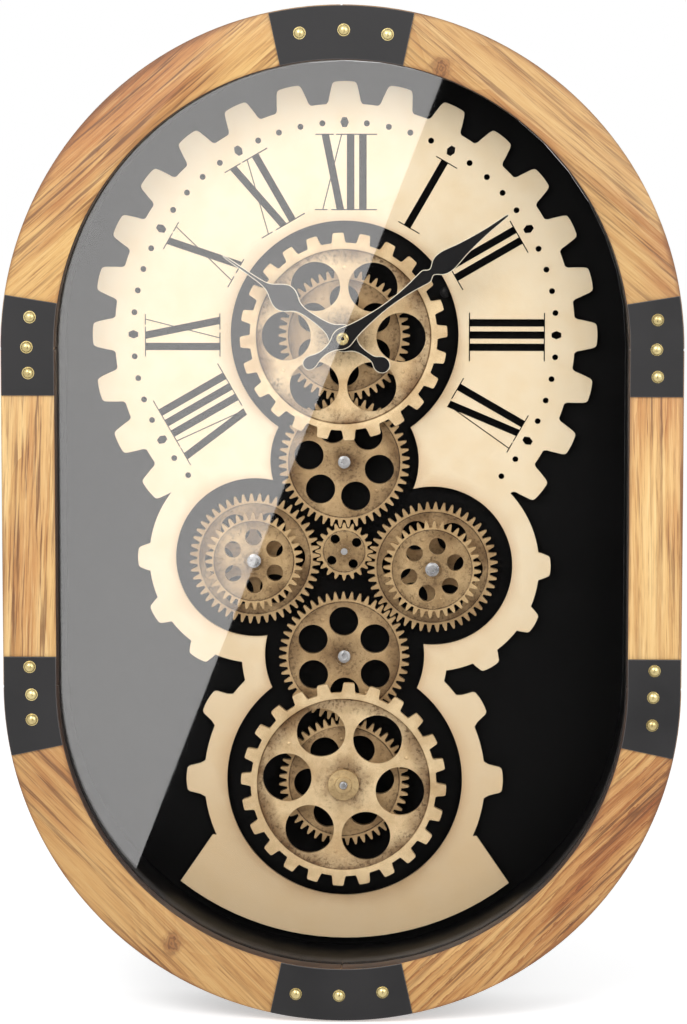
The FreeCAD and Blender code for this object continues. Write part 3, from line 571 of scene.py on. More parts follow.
def toothed_disc(name, rings, teeth, columns, tooth_columns, rows, thick, first=0, count=None):
    """A flat cog with its front on Y = 0. A radial edge is spun to a disc, and one tooth is pulled row by row
    from the root circle: a row is its height and half its width. Copies of the tooth go round clockwise from
    the first one's place. Columns are the steps of a pitch, and tooth_columns those at the foot of a tooth."""
    root = rings[-1]
    pitch = 2 * math.pi / teeth
    half = pitch / columns * tooth_columns / 2
    disc = start_vertex(name, rings[0] * math.sin(half), rings[0] * math.cos(half))
    for inner, outer in zip(rings, rings[1:]):
        extrude((outer - inner) * math.sin(half), 0, (outer - inner) * math.cos(half))
    select_whole()
    spin(teeth * columns, 2 * math.pi)
    close_up()
    tooth = start_vertex("tooth", root * math.sin(half), root * math.cos(half))
    spin(tooth_columns, 2 * half)
    select_whole()
    height, width = 0, root * math.sin(half)
    for rise, half_width in rows:
        pull(rise - height, half_width / width)
        height, width = rise, half_width
    close_up()
    tooth.data.transform(Matrix.Rotation(first * pitch, 4, "Y"))
    further = (count or teeth) - 1
    open_up(tooth)
    spin(further, -pitch * further, copies=True)
    close_up()
    open_up(join(disc, tooth))
    bpy.ops.mesh.remove_doubles(threshold=2e-6)
    thicken(thick)
    return disc


def rod(radius, x, z, front, back, sides=96):
    """A round rod along Y."""
    bpy.ops.object.select_all(action="DESELECT")
    bpy.ops.mesh.primitive_cylinder_add(vertices=sides, radius=radius, depth=back - front,
                                        location=(x, (front + back) / 2, z), rotation=(math.radians(90), 0, 0))
    bpy.ops.object.transform_apply(location=True, rotation=True, scale=True)
    return bpy.context.object


def flatten_faces(piece):
    open_up(piece)
    bpy.ops.mesh.dissolve_limited(angle_limit=math.radians(0.2))
    close_up()


# Gear centres, in metres from the middle of the back. Two cogs mesh a step apart, and the side gears hang
# a little below the pinion.
GEAR_STEP = 0.07584
PINION_STEP = 0.05372
TOP_Z = 0.1049
LEFT_DROP, RIGHT_DROP = 0.0046, 0.0093
PINION_Z = TOP_Z - GEAR_STEP - PINION_STEP
LEFT_X = -math.sqrt(PINION_STEP ** 2 - LEFT_DROP ** 2)
RIGHT_X = math.sqrt(PINION_STEP ** 2 - RIGHT_DROP ** 2)
LOWER_Z = PINION_Z - RIGHT_DROP - math.sqrt(GEAR_STEP ** 2 - RIGHT_X ** 2)
ARBORS = {"top": (0, TOP_Z), "second": (0, TOP_Z - GEAR_STEP), "pinion": (0, PINION_Z),
          "left": (LEFT_X, PINION_Z - LEFT_DROP), "right": (RIGHT_X, PINION_Z - RIGHT_DROP),
          "lower": (0, LOWER_Z), "bottom": (0, LOWER_Z - GEAR_STEP)}


def set_on(piece, arbor, front, turn=0):
    """Move a piece to its arbor and its level, turned anticlockwise as seen from the front."""
    x, z = ARBORS[arbor]
    piece.data.transform(Matrix.Translation((x, -front, z)) @ Matrix.Rotation(-math.radians(turn), 4, "Y"))


# The parts of the outline are made deeper than the sheet, each by another depth, so that no two faces lie in
# one plane where they are united. A slab then cuts the whole to its 2 mm. A window is given by its radius,
# and a part by the circle that its teeth stand on.
WINDOWS = {"top": 0.0681, "second": 0.0445, "pinion": 0.025, "left": 0.0479, "right": 0.0479, "lower": 0.048,
           "bottom": 0.071}
DISC_ROOT, SIDE_ROOT, FOOT_ROOT, LOWER_RADIUS = 0.1376, 0.064, 0.0849, 0.062
DISC_TEETH = ((0.0007, 0.0102), (0.002, 0.0095), (0.0045, 0.0091), (0.0108, 0.0077), (0.0126, 0.0069),
              (0.0133, 0.0058))
SIDE_TEETH = ((0.002, 0.0078), (0.006, 0.0062), (0.0069, 0.0052))
FOOT_TEETH = ((0.003, 0.0094), (0.0095, 0.0078), (0.0108, 0.0066))
DIAL_THICK = 0.002
dial = toothed_disc("dial", (0.06, DISC_ROOT), 28, 7, 5, DISC_TEETH, 0.02)
set_on(dial, "top", 0.01)
for arbor, radius, rows, first, count, thick in (
        ("left", SIDE_ROOT, SIDE_TEETH, 7, 3, 0.023), ("right", SIDE_ROOT, SIDE_TEETH, 3, 3, 0.026),
        ("bottom", FOOT_ROOT, FOOT_TEETH, 9, 2, 0.029), ("bottom", FOOT_ROOT, FOOT_TEETH, 2, 2, 0.032)):
    lobe = toothed_disc("lobe", (0.03, radius), 12, 8, 4, rows, thick, first, count)
    set_on(lobe, arbor, thick / 2)
    combine(dial, lobe, "UNION")
combine(dial, rod(LOWER_RADIUS, *ARBORS["lower"], -0.018, 0.018, 97), "UNION")

# The skirt is a straight-sided foot whose lower edge is an arc.
SKIRT_TOP, SKIRT_LOW, SKIRT_HEIGHT, SKIRT_DEPTH = 0.08, 0.0995, 0.0295, 0.04
FOOT_Z, FOOT_RADIUS = -0.1, 0.1615
skirt_z = ARBORS["bottom"][1] - 0.0345
skirt = start_vertex("skirt", -SKIRT_TOP, skirt_z)
extrude(2 * SKIRT_TOP, 0, 0)
select_whole()
bpy.ops.mesh.subdivide(number_cuts=23)
select_whole()
pull(-SKIRT_HEIGHT, SKIRT_LOW / SKIRT_TOP)
close_up()
for vertex in skirt.data.vertices:
    if vertex.co.z < skirt_z - SKIRT_HEIGHT / 2:
        vertex.co.z = FOOT_Z - math.sqrt(FOOT_RADIUS ** 2 - vertex.co.x ** 2)
open_up(skirt)
thicken(SKIRT_DEPTH)
shift(skirt, 0, -SKIRT_DEPTH / 2, 0)
combine(dial, skirt, "UNION")
for arbor, window in WINDOWS.items():
    combine(dial, rod(window, *ARBORS[arbor], -0.03, 0.03, 127), "DIFFERENCE")
bpy.ops.mesh.primitive_cube_add(size=1, location=(0, DIAL_THICK / 2, 0), scale=(0.5, DIAL_THICK, 0.8))
combine(dial, bpy.context.object, "INTERSECT")
flatten_faces(dial)
round_edges(dial, 0.0004, finish=1, segments=1, angle=40)

# The marks: a numeral is drawn upright in strokes, then turned to its hour. A letter is its width, its stems
# and its serifs. A stem is its left corner on the inner circle, that on the outer circle, and its width. A
# serif is its two ends and its circle.
BASE, TOP = 0.0746, 0.1193
THICK, THIN = 0.0045, 0.0007
LETTERS = {
    "I": (0.0073, ((0.0014, 0.0014, THICK),), ((-0.0024, 0.0121, TOP), (-0.0024, 0.0121, BASE))),
    "V": (0.0145, ((0.0058, 0.0002, THICK), (0.0086, 0.0128, THIN)),
          ((-0.0036, 0.0083, TOP), (0.0092, 0.0159, TOP))),
    "X": (0.0145, ((0.0098, 0.0008, THICK), (0.0012, 0.0124, THIN)),
          ((-0.0028, 0.0082, TOP), (0.0094, 0.0158, TOP), (-0.0032, 0.0044, BASE), (0.0066, 0.0162, BASE))),
}
NUMERALS = {8: "VIII", 9: "IX", 10: "X", 11: "XI", 12: "XII", 1: "I", 2: "II", 3: "III", 4: "IV"}


def empty_piece(name):
    """A piece with no vertex yet, open in edit mode."""
    piece = start_vertex(name, 0, 0)
    bpy.ops.mesh.delete(type="VERT")
    return piece


marks = empty_piece("marks")
close_up()
for hour, letters in NUMERALS.items():
    numeral = empty_piece("numeral")
    left = -sum(LETTERS[letter][0] for letter in letters) / 2
    strokes = []
    for letter in letters:
        advance, stems, serifs = LETTERS[letter]
        strokes += [(left + low, BASE, high - low, TOP - BASE, wide) for low, high, wide in stems]
        strokes += [(left + low, height - THIN / 2, 0, THIN, high - low) for low, high, height in serifs]
        left += advance
    for number, (x, z, slant, rise, wide) in enumerate(strokes):
        bpy.ops.mesh.select_all(action="DESELECT")
        bpy.ops.mesh.primitive_plane_add(size=0.001, location=(0, 0, 0))
        bpy.ops.mesh.merge(type="CENTER")
        bpy.ops.transform.translate(value=(x, 0, z))
        extrude(wide, 0, 0)
        bpy.ops.mesh.select_linked()
        extrude(slant, 0, rise)
        bpy.ops.mesh.select_linked()
        extrude(0, 0.01 + number * 0.0002, 0)
        bpy.ops.mesh.select_linked()
        bpy.ops.transform.translate(value=(0, number * -0.0001, 0))
    select_whole()
    bpy.ops.mesh.normals_make_consistent(inside=False)
    close_up()
    numeral.data.transform(Matrix.Rotation(hour * math.pi / 6, 4, "Y"))
    join(marks, numeral)

# A round dot marks each minute and a larger lozenge with six sides each hour, where the gears leave room.
MINUTE_CIRCLE, DOT_RADIUS, LOZENGE_RADIUS = 0.1265, 0.0018, 0.0033
for minute in (*range(38, 60), *range(0, 23)):
    if minute % 5:
        mark = rod(DOT_RADIUS, 0, 0, -0.005, 0.005, 14)
    else:
        mark = rod(LOZENGE_RADIUS, 0, 0, -0.005, 0.005, 6)
        mark.data.transform(Matrix.Diagonal((0.78, 1, 1.03, 1)) @ Matrix.Rotation(math.radians(30), 4, "Y"))
    turn = Matrix.Rotation(minute * math.pi / 30, 4, "Y")
    mark.data.transform(turn @ Matrix.Translation((0, 0.005, MINUTE_CIRCLE)))
    join(marks, mark)
set_on(marks, "top", 0.004)
combine(dial, marks, "DIFFERENCE", use_self=True)
open_up(dial)
bpy.ops.mesh.remove_doubles(threshold=1e-6)
bpy.ops.mesh.delete_loose()
close_up()
dial.data.validate()
shift(dial, 0, -front_of("dial_plate"), 0)

# Painted shade round the windows: a mask that is full at the rim of each window and fades out within 2 to 14
# mm.
rim_shade_tree, given = effect("painted_rim_shade", {"Place": "Vector"}, ("Mask",))
flat = stretched(rim_shade_tree, given["Place"], (1, 0, 1))
nearest = None
for arbor, window in WINDOWS.items():
    x, z = ARBORS[arbor]
    far = put(rim_shade_tree, "VectorMath", {0: flat, 1: (x, 0, z)}, operation="DISTANCE").outputs["Value"]
    gap = minus(rim_shade_tree, far, window)
    nearest = gap if nearest is None else maths(rim_shade_tree, "MINIMUM", nearest, gap)
uneven = noise(rim_shade_tree, given["Place"], 26, 3)
width = spread(rim_shade_tree, uneven, 0.35, 0.7, 0.002, 0.014)
give(rim_shade_tree, Mask=maths(rim_shade_tree, "POWER", minus(rim_shade_tree, 1.0, spread(
    rim_shade_tree, maths(rim_shade_tree, "DIVIDE", nearest, width), 0, 1)), 1.6))

champagne, tree, shader = new_finish("champagne_gold", Metallic=0.05)
place = object_place(tree)
skin = used(tree, worn, Place=place, Bright=tone(252, 232, 197), Tarnish=tone(245, 219, 176), Grime=0.0)
rim_shade = used(tree, rim_shade_tree, Place=place)["Mask"]
# Painted shade: the plate turns a deeper gold towards its bottom.
low = spread(tree, put(tree, "SeparateXYZ", {0: place}).outputs[2], -0.03, -0.2, 0, 0.6)
gold_with_low_shade = mixed(tree, low, skin["Color"], tone(222, 186, 136))
# Painted shade: brown laid over the plate round the window rims.
colour = mixed(tree, times(tree, rim_shade, 0.38), gold_with_low_shade, tone(196, 146, 92))
lead(tree, shader, colour, spread(tree, skin["Roughness"], 0.36, 0.56, 0.4, 0.52), skin["Height"],
     0.00002, 0.12)
champagne_edge = worn_finish("champagne_edge", metal=0.25, bright=(250, 234, 204), tarnish=(216, 180, 128),
                             grime_and_shade=0, depth=0.00004, strength=0.3)
fit(dial, "case", "dial_gold", "dial_plate", finishes=(champagne, champagne_edge))


# Six like cogs of cast zinc in an antique brass finish, with 48 slender round-tipped teeth. Each has a turned
# groove inside its teeth, six holes, two small nubs where it left its mould, and a sunk hub.
def pick_ring(piece, low=-1, high=1, front=True):
    """Open a piece with its front or back faces selected, or those whose middles lie between two radii."""
    only(piece)
    bpy.ops.object.mode_set(mode="EDIT")
    bpy.ops.mesh.select_mode(type="FACE")
    bpy.ops.mesh.select_all(action="DESELECT")
    close_up()
    for face in piece.data.polygons:
        out = math.hypot(face.center.x, face.center.z)
        facing = face.normal.y < -0.9 if front else face.normal.y > 0.9
        face.select = facing and low < out < high
    bpy.ops.object.mode_set(mode="EDIT")


def press(piece, *steps, low=-1, high=1, front=True):
    """Shape the front or back of a piece. A step is how far the faces are inset, how far they move along
    their normal meanwhile, and how far they are then pushed along Y."""
    pick_ring(piece, low, high, front)
    for inset, slope, push in steps:
        if inset:
            bpy.ops.mesh.inset(thickness=inset, depth=slope)
        if push:
            extrude(0, push, 0)
    close_up()


def pierce(piece, radius, out, count, first=0, sides=48):
    """A ring of round holes, the first one straight up and turned clockwise by an angle."""
    cutter = rod(radius, 0, out, -0.01, 0.02, sides)
    open_up(cutter)
    spin(count - 1, 2 * math.pi * (count - 1) / count, copies=True)
    close_up()
    cutter.data.transform(Matrix.Rotation(math.radians(first), 4, "Y"))
    combine(piece, cutter, "DIFFERENCE")


def add_nubs(piece, radius, out, angles, level=0):
    """Low round nubs on the face, at angles anticlockwise from straight up."""
    for angle in angles:
        bpy.ops.object.select_all(action="DESELECT")
        bpy.ops.mesh.primitive_uv_sphere_add(segments=20, ring_count=10, radius=radius)
        nub = bpy.context.object
        open_up(nub)
        resize(1, 0.45, 1)
        close_up()
        turn = Matrix.Rotation(-math.radians(angle), 4, "Y")
        nub.data.transform(turn @ Matrix.Translation((0, level, out)))
        join(piece, nub)


def lay_face_map(piece):
    """A flat map of the face about the hub, in tenths of a metre, that turns with the piece."""
    layers = piece.data.uv_layers
    layer = layers[0] if layers else layers.new(name="face")
    layer.name = "face"
    for loop in piece.data.loops:
        spot = piece.data.vertices[loop.vertex_index].co
        layer.data[loop.index].uv = (spot.x * 10, spot.z * 10)


def mount(model, face_finish, *places):
    """Put copies of a model on their arbors, each at the level of the CAD node it stands for, and drop the
    model. A place is the piece's name, its arbor, its node and its turn."""
    lay_face_map(model)
    for name, arbor, node, turn in places:
        piece = add_object(name, model.data.copy())
        set_on(piece, arbor, front_of(node), turn)
        body = arbor + ("_wheel_set" if arbor in ("top", "bottom") else "_set")
        fit(piece, body, "antique_brass", node, finishes=(face_finish, painted_highlight_edge))
    bpy.data.objects.remove(model)


def brass_finish(name, bright, tarnish, hub, rim, grime_and_shade):
    """Aged brass with painted shade in patches round the sunk hub and inside the raised rim, and a painted
    dark line in the groove.
    """
    finish, tree, shader = new_finish(name, Metallic=0.45)
    face = put(tree, "UVMap", uv_map="face").outputs[0]
    out = put(tree, "VectorMath", {0: face}, operation="LENGTH").outputs["Value"]
    near_hub = spread(tree, out, hub * 10, hub * 10 + 0.12, 1, 0)
    near_rim = spread(tree, out, rim * 10 - 0.09, rim * 10, 0, 1)
    outside = spread(tree, out, rim * 10, rim * 10 + 0.004, 1, 0)
    place = object_place(tree)
    loose = noise(tree, place, 38, 3)
    # Painted shade round the sunk hub and inside the raised rim, broken into patches by noise.
    ring = times(tree, maths(tree, "MAXIMUM", near_hub, near_rim), outside)
    painted_recess_shade = times(tree, times(tree, ring, spread(tree, loose, 0.22, 0.52)), grime_and_shade)
    off_groove = maths(tree, "ABSOLUTE", minus(tree, out, rim * 10 + 0.0035))
    # Painted shade: a thin dark line along the turned groove.
    painted_recess_shade = maths(tree, "MAXIMUM", painted_recess_shade, spread(tree, off_groove, 0.003, 0.0055, 1, 0))
    skin = used(tree, worn, Place=place, Bright=tone(*bright), Tarnish=tone(*tarnish), Grime=painted_recess_shade)
    lead(tree, shader, skin["Color"], skin["Roughness"], skin["Height"], 0.00012, 0.5)
    return finish


# Painted highlight: the rounded edges of every cog and wheel are coloured a pale cream brass.
painted_highlight_edge = worn_finish("brass_edge_highlight", metal=0.35, bright=(246, 222, 180), tarnish=(196, 160, 112),
                         grime_and_shade=0, depth=0.00005, strength=0.3)
BORE, GROOVE_DEPTH, COG_THICK = 0.0016, 0.0004, 0.004
hub, web, groove, root = 0.0054, 0.0328, 0.0335, 0.0347
tooth_rows = ((0.0013, 0.00128), (0.0028, 0.00092), (0.0038, 0.0007), (0.0043, 0.00046), (0.0045, 0.00022))
cog = toothed_disc("cog", (BORE, hub, web, groove, root), teeth=48, columns=6,
                   tooth_columns=4, rows=tooth_rows, thick=COG_THICK)
press(cog, (0, 0, GROOVE_DEPTH), low=web, high=groove)
press(cog, (0, 0, 0.0011), low=0, high=hub)
pierce(cog, radius=0.0088, out=0.02145, count=6)
round_edges(cog, 0.0003, finish=1, segments=2, angle=40)
add_nubs(cog, radius=0.0013, out=0.0259, angles=(90, 270))
cog_face = brass_finish("cog_brass", (206, 174, 128), (152, 118, 76), hub, web, grime_and_shade=0.8)

# How the train came to rest: an angle of one hole of each gear, anticlockwise from the right. Teeth face gaps
# where two gears meet, and each gear then goes on by whole teeth to the angle seen.
HOLE_ANGLES = {"top": 28, "second": 48.5, "pinion": 36.9, "left": 0, "right": 0, "lower": 29.5, "bottom": 4}
MESHES = (("top", "second"), ("second", "pinion"), ("pinion", "left"), ("pinion", "right"), ("right", "lower"),
          ("lower", "bottom"))
TEETH = dict.fromkeys(ARBORS, 48)
TEETH["pinion"] = 20
turns = {"top": 90}
for driver, driven in MESHES:
    bearing = math.degrees(math.atan2(ARBORS[driven][1] - ARBORS[driver][1],
                                      ARBORS[driven][0] - ARBORS[driver][0]))
    lag = TEETH[driver] / TEETH[driven] * (turns[driver] - bearing)
    turns[driven] = bearing + 180 - lag - 180 / TEETH[driven]
for arbor, turn in turns.items():
    pitch = 360 / TEETH[arbor]
    turns[arbor] = turn + round((HOLE_ANGLES[arbor] - turn) / pitch) * pitch - 90

mount(cog, cog_face, *((arbor + "_cog", arbor, arbor + "_gear", turns[arbor])
                       for arbor in ("top", "second", "left", "right", "lower", "bottom")))


# The pinion is the small driving cog in the middle, pressed on the motor's shaft: 20 teeth, four holes, a
# raised hub with a groove round it and one nub.
hub, moat, web, groove, root = 0.0037, 0.0042, 0.0121, 0.0128, 0.0141
tooth_rows = ((0.0012, 0.00108), (0.0024, 0.0008), (0.003, 0.0005), (0.0033, 0.00025))
small_cog = toothed_disc("small_cog", (0.0005, hub, moat, web, groove, root), teeth=20, columns=8,
                         tooth_columns=5, rows=tooth_rows, thick=COG_THICK)
press(small_cog, (0, 0, GROOVE_DEPTH), low=web, high=groove)
press(small_cog, (0, 0, 0.0005), low=hub, high=moat)
pierce(small_cog, radius=0.00285, out=0.0092, count=4, sides=32)
round_edges(small_cog, 0.0002, finish=1, segments=2, angle=40)
add_nubs(small_cog, radius=0.001, out=0.0085, angles=(45,))
pinion_face = brass_finish("pinion_brass", (206, 174, 126), (150, 116, 74), moat, web, grime_and_shade=0.6)
mount(small_cog, pinion_face, ("driving_pinion", "pinion", "pinion", turns["pinion"]))


# The two large front wheels have 24 square teeth and a web dished inside a raised rim, with six round holes
# and three nubs. A boss behind the web reaches the cog that turns with it.
hub, web, groove, root, dish = 0.007, 0.0512, 0.0523, 0.0557, 0.0015
BOSS = 0.008
tooth_rows = ((0.001, 0.0039), (0.0052, 0.0033), (0.0059, 0.0029))
wheel = toothed_disc("wheel", (0.0041, hub, web, groove, root), teeth=24, columns=10,
                     tooth_columns=6, rows=tooth_rows, thick=COG_THICK)
pick_ring(wheel, 0, web)
bpy.ops.transform.translate(value=(0, dish, 0))
close_up()
press(wheel, (0, 0, BOSS), low=0, high=hub, front=False)
pierce(wheel, radius=0.01465, out=0.0341, count=6, first=3.75, sides=64)
round_edges(wheel, 0.0005, finish=1, segments=2, angle=30)
add_nubs(wheel, radius=0.0012, out=0.041, angles=(-33.75, 86.25, 206.25), level=dish)
wheel_face = brass_finish("wheel_brass", (244, 216, 170), (184, 146, 98), hub, web, grime_and_shade=1)
mount(wheel, wheel_face, ("top_front_wheel", "top", "top_wheel", 33.1),
      ("bottom_front_wheel", "bottom", "bottom_wheel", 87))


# A smaller cog of 36 teeth turns in front of each side gear, on the same stud. Its hub is sunk, and painted
# shade darkens it.
hub, web, groove, root = 0.0059, 0.0234, 0.0241, 0.025
tooth_rows = ((0.0013, 0.00122), (0.0028, 0.0009), (0.0036, 0.00066), (0.0042, 0.0003))
front_cog = toothed_disc("front_cog", (BORE, hub, web, groove, root), teeth=36, columns=6,
                         tooth_columns=4, rows=tooth_rows, thick=COG_THICK)
press(front_cog, (0, 0, GROOVE_DEPTH), low=web, high=groove)
press(front_cog, (0, 0, 0.0016), low=0, high=hub)
press(front_cog, (0, 0, BOSS), low=0, high=0.0065, front=False)
pierce(front_cog, radius=0.005, out=0.0144, count=6, sides=40)
round_edges(front_cog, 0.0003, finish=1, segments=2, angle=40)
add_nubs(front_cog, radius=0.0011, out=0.0185, angles=(30, 210))
front_face = brass_finish("front_cog_brass", (212, 180, 132), (160, 126, 82), 0.0052, web, grime_and_shade=0.75)
mount(front_cog, front_face, ("left_front_cog", "left", "left_front_gear", 1),
      ("right_front_cog", "right", "right_front_gear", -12.5))


# Steel studs on the board carry the gears. Each ends in a turned, slightly domed head that sits in the sunk
# hub. The bottom wheel's stud ends in a stepped brass cap.
bright_steel, tree, shader = new_finish("turned_steel", Metallic=0.9)
place = object_place(tree)
marks_of_tool = noise(tree, place, 240, 3)
lead(tree, shader, ramp(tree, marks_of_tool, (0.3, tone(186, 186, 188)), (0.7, tone(214, 214, 215))),
     spread(tree, marks_of_tool, 0.3, 0.7, 0.24, 0.34), marks_of_tool, 0.00001, 0.3)
for node in ("short_studs", "side_studs", "bottom_stud", "neck_nut", "motor_shaft"):
    for holder in frame["nodes"][node].material_slots:
        holder.material = bright_steel
for holder in frame["nodes"]["dial_posts"].material_slots:
    holder.material = board_paint


def turned_head(name, arbor, radius, front, thick):
    """A short round head with a stepped rim and a shallow dimple in its middle."""
    piece = rod(radius, 0, 0, 0, thick, 48)
    piece.name = name
    press(piece, (radius * 0.22, 0, -thick * 0.3), (radius * 0.34, thick * 0.12, 0),
          (radius * 0.12, -thick * 0.3, 0))
    round_edges(piece, radius * 0.05, segments=2, angle=25)
    set_on(piece, arbor, front)
    fit(piece, "case", "bright_steel", finishes=(bright_steel,))


for arbor in ("second", "lower"):
    turned_head(arbor + "_stud_head", arbor, radius=0.0037, front=front_of("top_gear") + 0.0002,
                thick=0.0011)
for arbor in ("left", "right"):
    turned_head(arbor + "_stud_head", arbor, radius=0.0041, front=front_of("top_wheel") - 0.0002,
                thick=0.0011)
turned_head("bottom_stud_head", "bottom", radius=0.0023, front=front_of("bottom_cap"), thick=0.001)
cap_brass = worn_finish("cap_brass", metal=0.6, bright=(224, 196, 146), tarnish=(160, 126, 80), grime_and_shade=0.15,
                        depth=0.0001, strength=0.4)
piece = rod(0.0093, 0, 0, 0.0016, 0.0046, 64)
piece.name = "stepped_cap"
press(piece, (0.0042, 0, -0.0016), (0.0024, 0, 0.0008))
round_edges(piece, 0.0003, segments=3, angle=40)
set_on(piece, "bottom", front_of("bottom_cap"))
fit(piece, "bottom_wheel_set", "antique_brass", "bottom_cap", finishes=(cap_brass,))


# The hands are pressed from 1 mm aluminium and lacquered black, and their bevelled edge is coloured pale as a
# painted highlight. The hour hand has a pipe and the minute hand a shaft behind it, and a round brass nut
# holds them.
hand_black = paint_finish("hand_lacquer", tone(12, 11, 12), tone(22, 20, 20), Specular_IOR_Level=0.2)
# Painted highlight: the pale colour of the hands' rounded edges.
hand_highlight = worn_finish("painted_hand_highlight", metal=0.2, bright=(248, 238, 216), tarnish=(222, 206, 176), grime_and_shade=0,
                        depth=0.00003, strength=0.2)

# Rows of each hand from its tail to its point: the distance from the hub and half the width, in millimetres.
HOUR_ROWS = ((-32.9, 1.3), (-32, 3), (-30.3, 4.5), (-27.7, 5.2), (-25.1, 4.5), (-23.2, 2.9), (-21.5, 1.8),
             (-18, 1.6), (-12, 1.9), (-8.4, 3.4), (-6.6, 5.4), (-4, 7.5), (0, 8.5), (4, 7.5), (6.6, 5.4),
             (9, 3.8), (13, 2.7), (19, 2.1), (26, 1.9), (30, 2.2), (33.5, 3.6), (36, 5.9), (39, 7.8),
             (42.5, 8.3), (46, 7.3), (49.5, 4.9), (52.5, 2.7), (56, 1.4), (64, 1), (75, 0.9), (84, 0.8),
             (86, 0.4))
MINUTE_ROWS = ((-28.5, 1.2), (-27.6, 2.9), (-25.8, 3.9), (-23.6, 4.2), (-21, 3.5), (-18.5, 2.4),
               (-15, 1.7), (-11, 2), (-7, 3.2), (-5, 4.6), (-3, 5.8), (0, 6.5), (3, 5.9), (6, 4.9),
               (11, 3.7), (18, 2.8), (28, 1.8), (36, 1.7), (44, 2), (53, 3), (60, 4.3), (62.3, 4.3),
               (64, 2.6), (65.5, 2), (67.5, 3.2), (69.5, 5.4), (73, 6.5), (77, 6.7), (82, 5.6), (88, 4.1),
               (99, 2.5), (108, 1.5), (116, 1.2), (121, 0.9), (121.7, 0.5))
HAND_THICK = 0.001
for name, rows, front, turn, tube, bore, tube_start in (
        ("hour", HOUR_ROWS, front_of("hour_hand"), -304.4, 0.0025, 0.0016, HAND_THICK),
        ("minute", MINUTE_ROWS, -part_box("hand_nut")[1][1], -53.2, 0.0015, None, -0.0024)):
    (start, half), *others = [(out / 1000, half / 1000) for out, half in rows]
    hand = start_vertex(name + "_hand_blade", -half, start)
    extrude(2 * half, 0, 0)
    select_whole()
    for out, wide in others:
        pull(out - start, wide / half)
        start, half = out, wide
    close_up()
    apply_modifier(hand, "SUBSURF", levels=1, render_levels=1)
    open_up(hand)
    thicken(HAND_THICK)
    flatten_faces(hand)
    hold_slots(hand, 2)
    press(hand, (0.0004, 0, 0))
    for face in hand.data.polygons:
        face.material_index = int(not (face.select or face.normal.y > 0.9))
    round_edges(hand, 0.0002, finish=1, segments=2, angle=50)
    tube_end = front - front_of("back_board")
    tube_piece = rod(tube, 0, 0, tube_start, tube_end, 32)
    if bore:
        combine(tube_piece, rod(bore, 0, 0, 0, tube_end + 0.001, 32), "DIFFERENCE")
    join(hand, tube_piece)
    set_on(hand, "top", front, turn)
    fit(hand, name + "_set", "black_hand", name + "_hand", finishes=(hand_black, hand_highlight))

nut_brass = worn_finish("nut_brass", metal=0.85, bright=(236, 218, 160), tarnish=(188, 164, 104), grime_and_shade=0.1,
                        depth=0.00005, shine=(0.2, 0.34))
piece = rod(0.0037, 0, 0, 0, 0.0024, 48)
piece.name = "round_hand_nut"
press(piece, (0.0009, 0.0004, 0), (0.0018, 0, 0.0007))
round_edges(piece, 0.0003, segments=3, angle=30)
set_on(piece, "top", front_of("hand_nut"))
fit(piece, "minute_set", "antique_brass", "hand_nut", finishes=(nut_brass,))


# Behind the board: the quartz movement that turns the hands and the gear motor that turns the train, in
# moulded black plastic with soft edges. Each takes one round cell in a bay.
def grey(level):
    return [level, level, level, 1]


moulded, given = effect("moulded_plastic", {"Place": "Vector", "Shade": "Color"})
spark = noise(moulded, given["Place"], 1500, 2)
flow = noise(moulded, given["Place"], 30, 3)
give(moulded, Color=mixed(moulded, spread(moulded, flow, 0.35, 0.7, 0, 0.3), given["Shade"],
                          mixed(moulded, 1.0, given["Shade"], grey(1.5), "MULTIPLY")),
     Roughness=spread(moulded, flow, 0.3, 0.7, 0.42, 0.55), Height=spark)


def plastic_finish(name, shade):
    finish, tree, shader = new_finish(name)
    skin = used(tree, moulded, Place=object_place(tree), Shade=shade)
    lead(tree, shader, skin["Color"], skin["Roughness"], skin["Height"], 0.00006, 0.35)
    return finish


black_plastic = plastic_finish("movement_plastic", tone(44, 44, 46))
grey_plastic = plastic_finish("switch_plastic", tone(150, 150, 154))
for node, name, body, slot, finish, edge in (
        ("movement_case", "movement_box", "case", "black_plastic", black_plastic, 0.0007),
        ("gear_motor", "motor_box", "case", "black_plastic", black_plastic, 0.0007),
        ("switch_slider", "slide_switch", "switch", "grey_plastic", grey_plastic, 0.0002)):
    piece = copy_of(node, name)
    round_edges(piece, edge, segments=3)
    fit(piece, body, slot, node, finishes=(finish,))

# The knob that sets the hands, with a ribbed rim to turn it by.
knob = rod(0.0063, 0, 0, -0.001, 0.001, 72)
knob.name = "ribbed_knob"
for face in knob.data.polygons:
    bearing = math.degrees(math.atan2(face.center.z, face.center.x)) % 10
    face.select = abs(face.normal.y) < 0.5 and bearing < 5
bpy.ops.object.mode_set(mode="EDIT")
bpy.ops.mesh.select_mode(type="FACE")
bpy.ops.mesh.inset(use_individual=True, thickness=0.00008, depth=0.0002)
close_up()
press(knob, (0.0012, 0, -0.0005), front=False)
join(knob, rod(0.0015, 0, 0, -0.0038, -0.001, 32))
low, high = (Vector(corner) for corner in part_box("set_knob"))
shift(knob, (low.x + high.x) / 2, high.y - 0.001, (low.z + high.z) / 2)
fit(knob, "knob", "black_plastic", "set_knob", finishes=(black_plastic,))

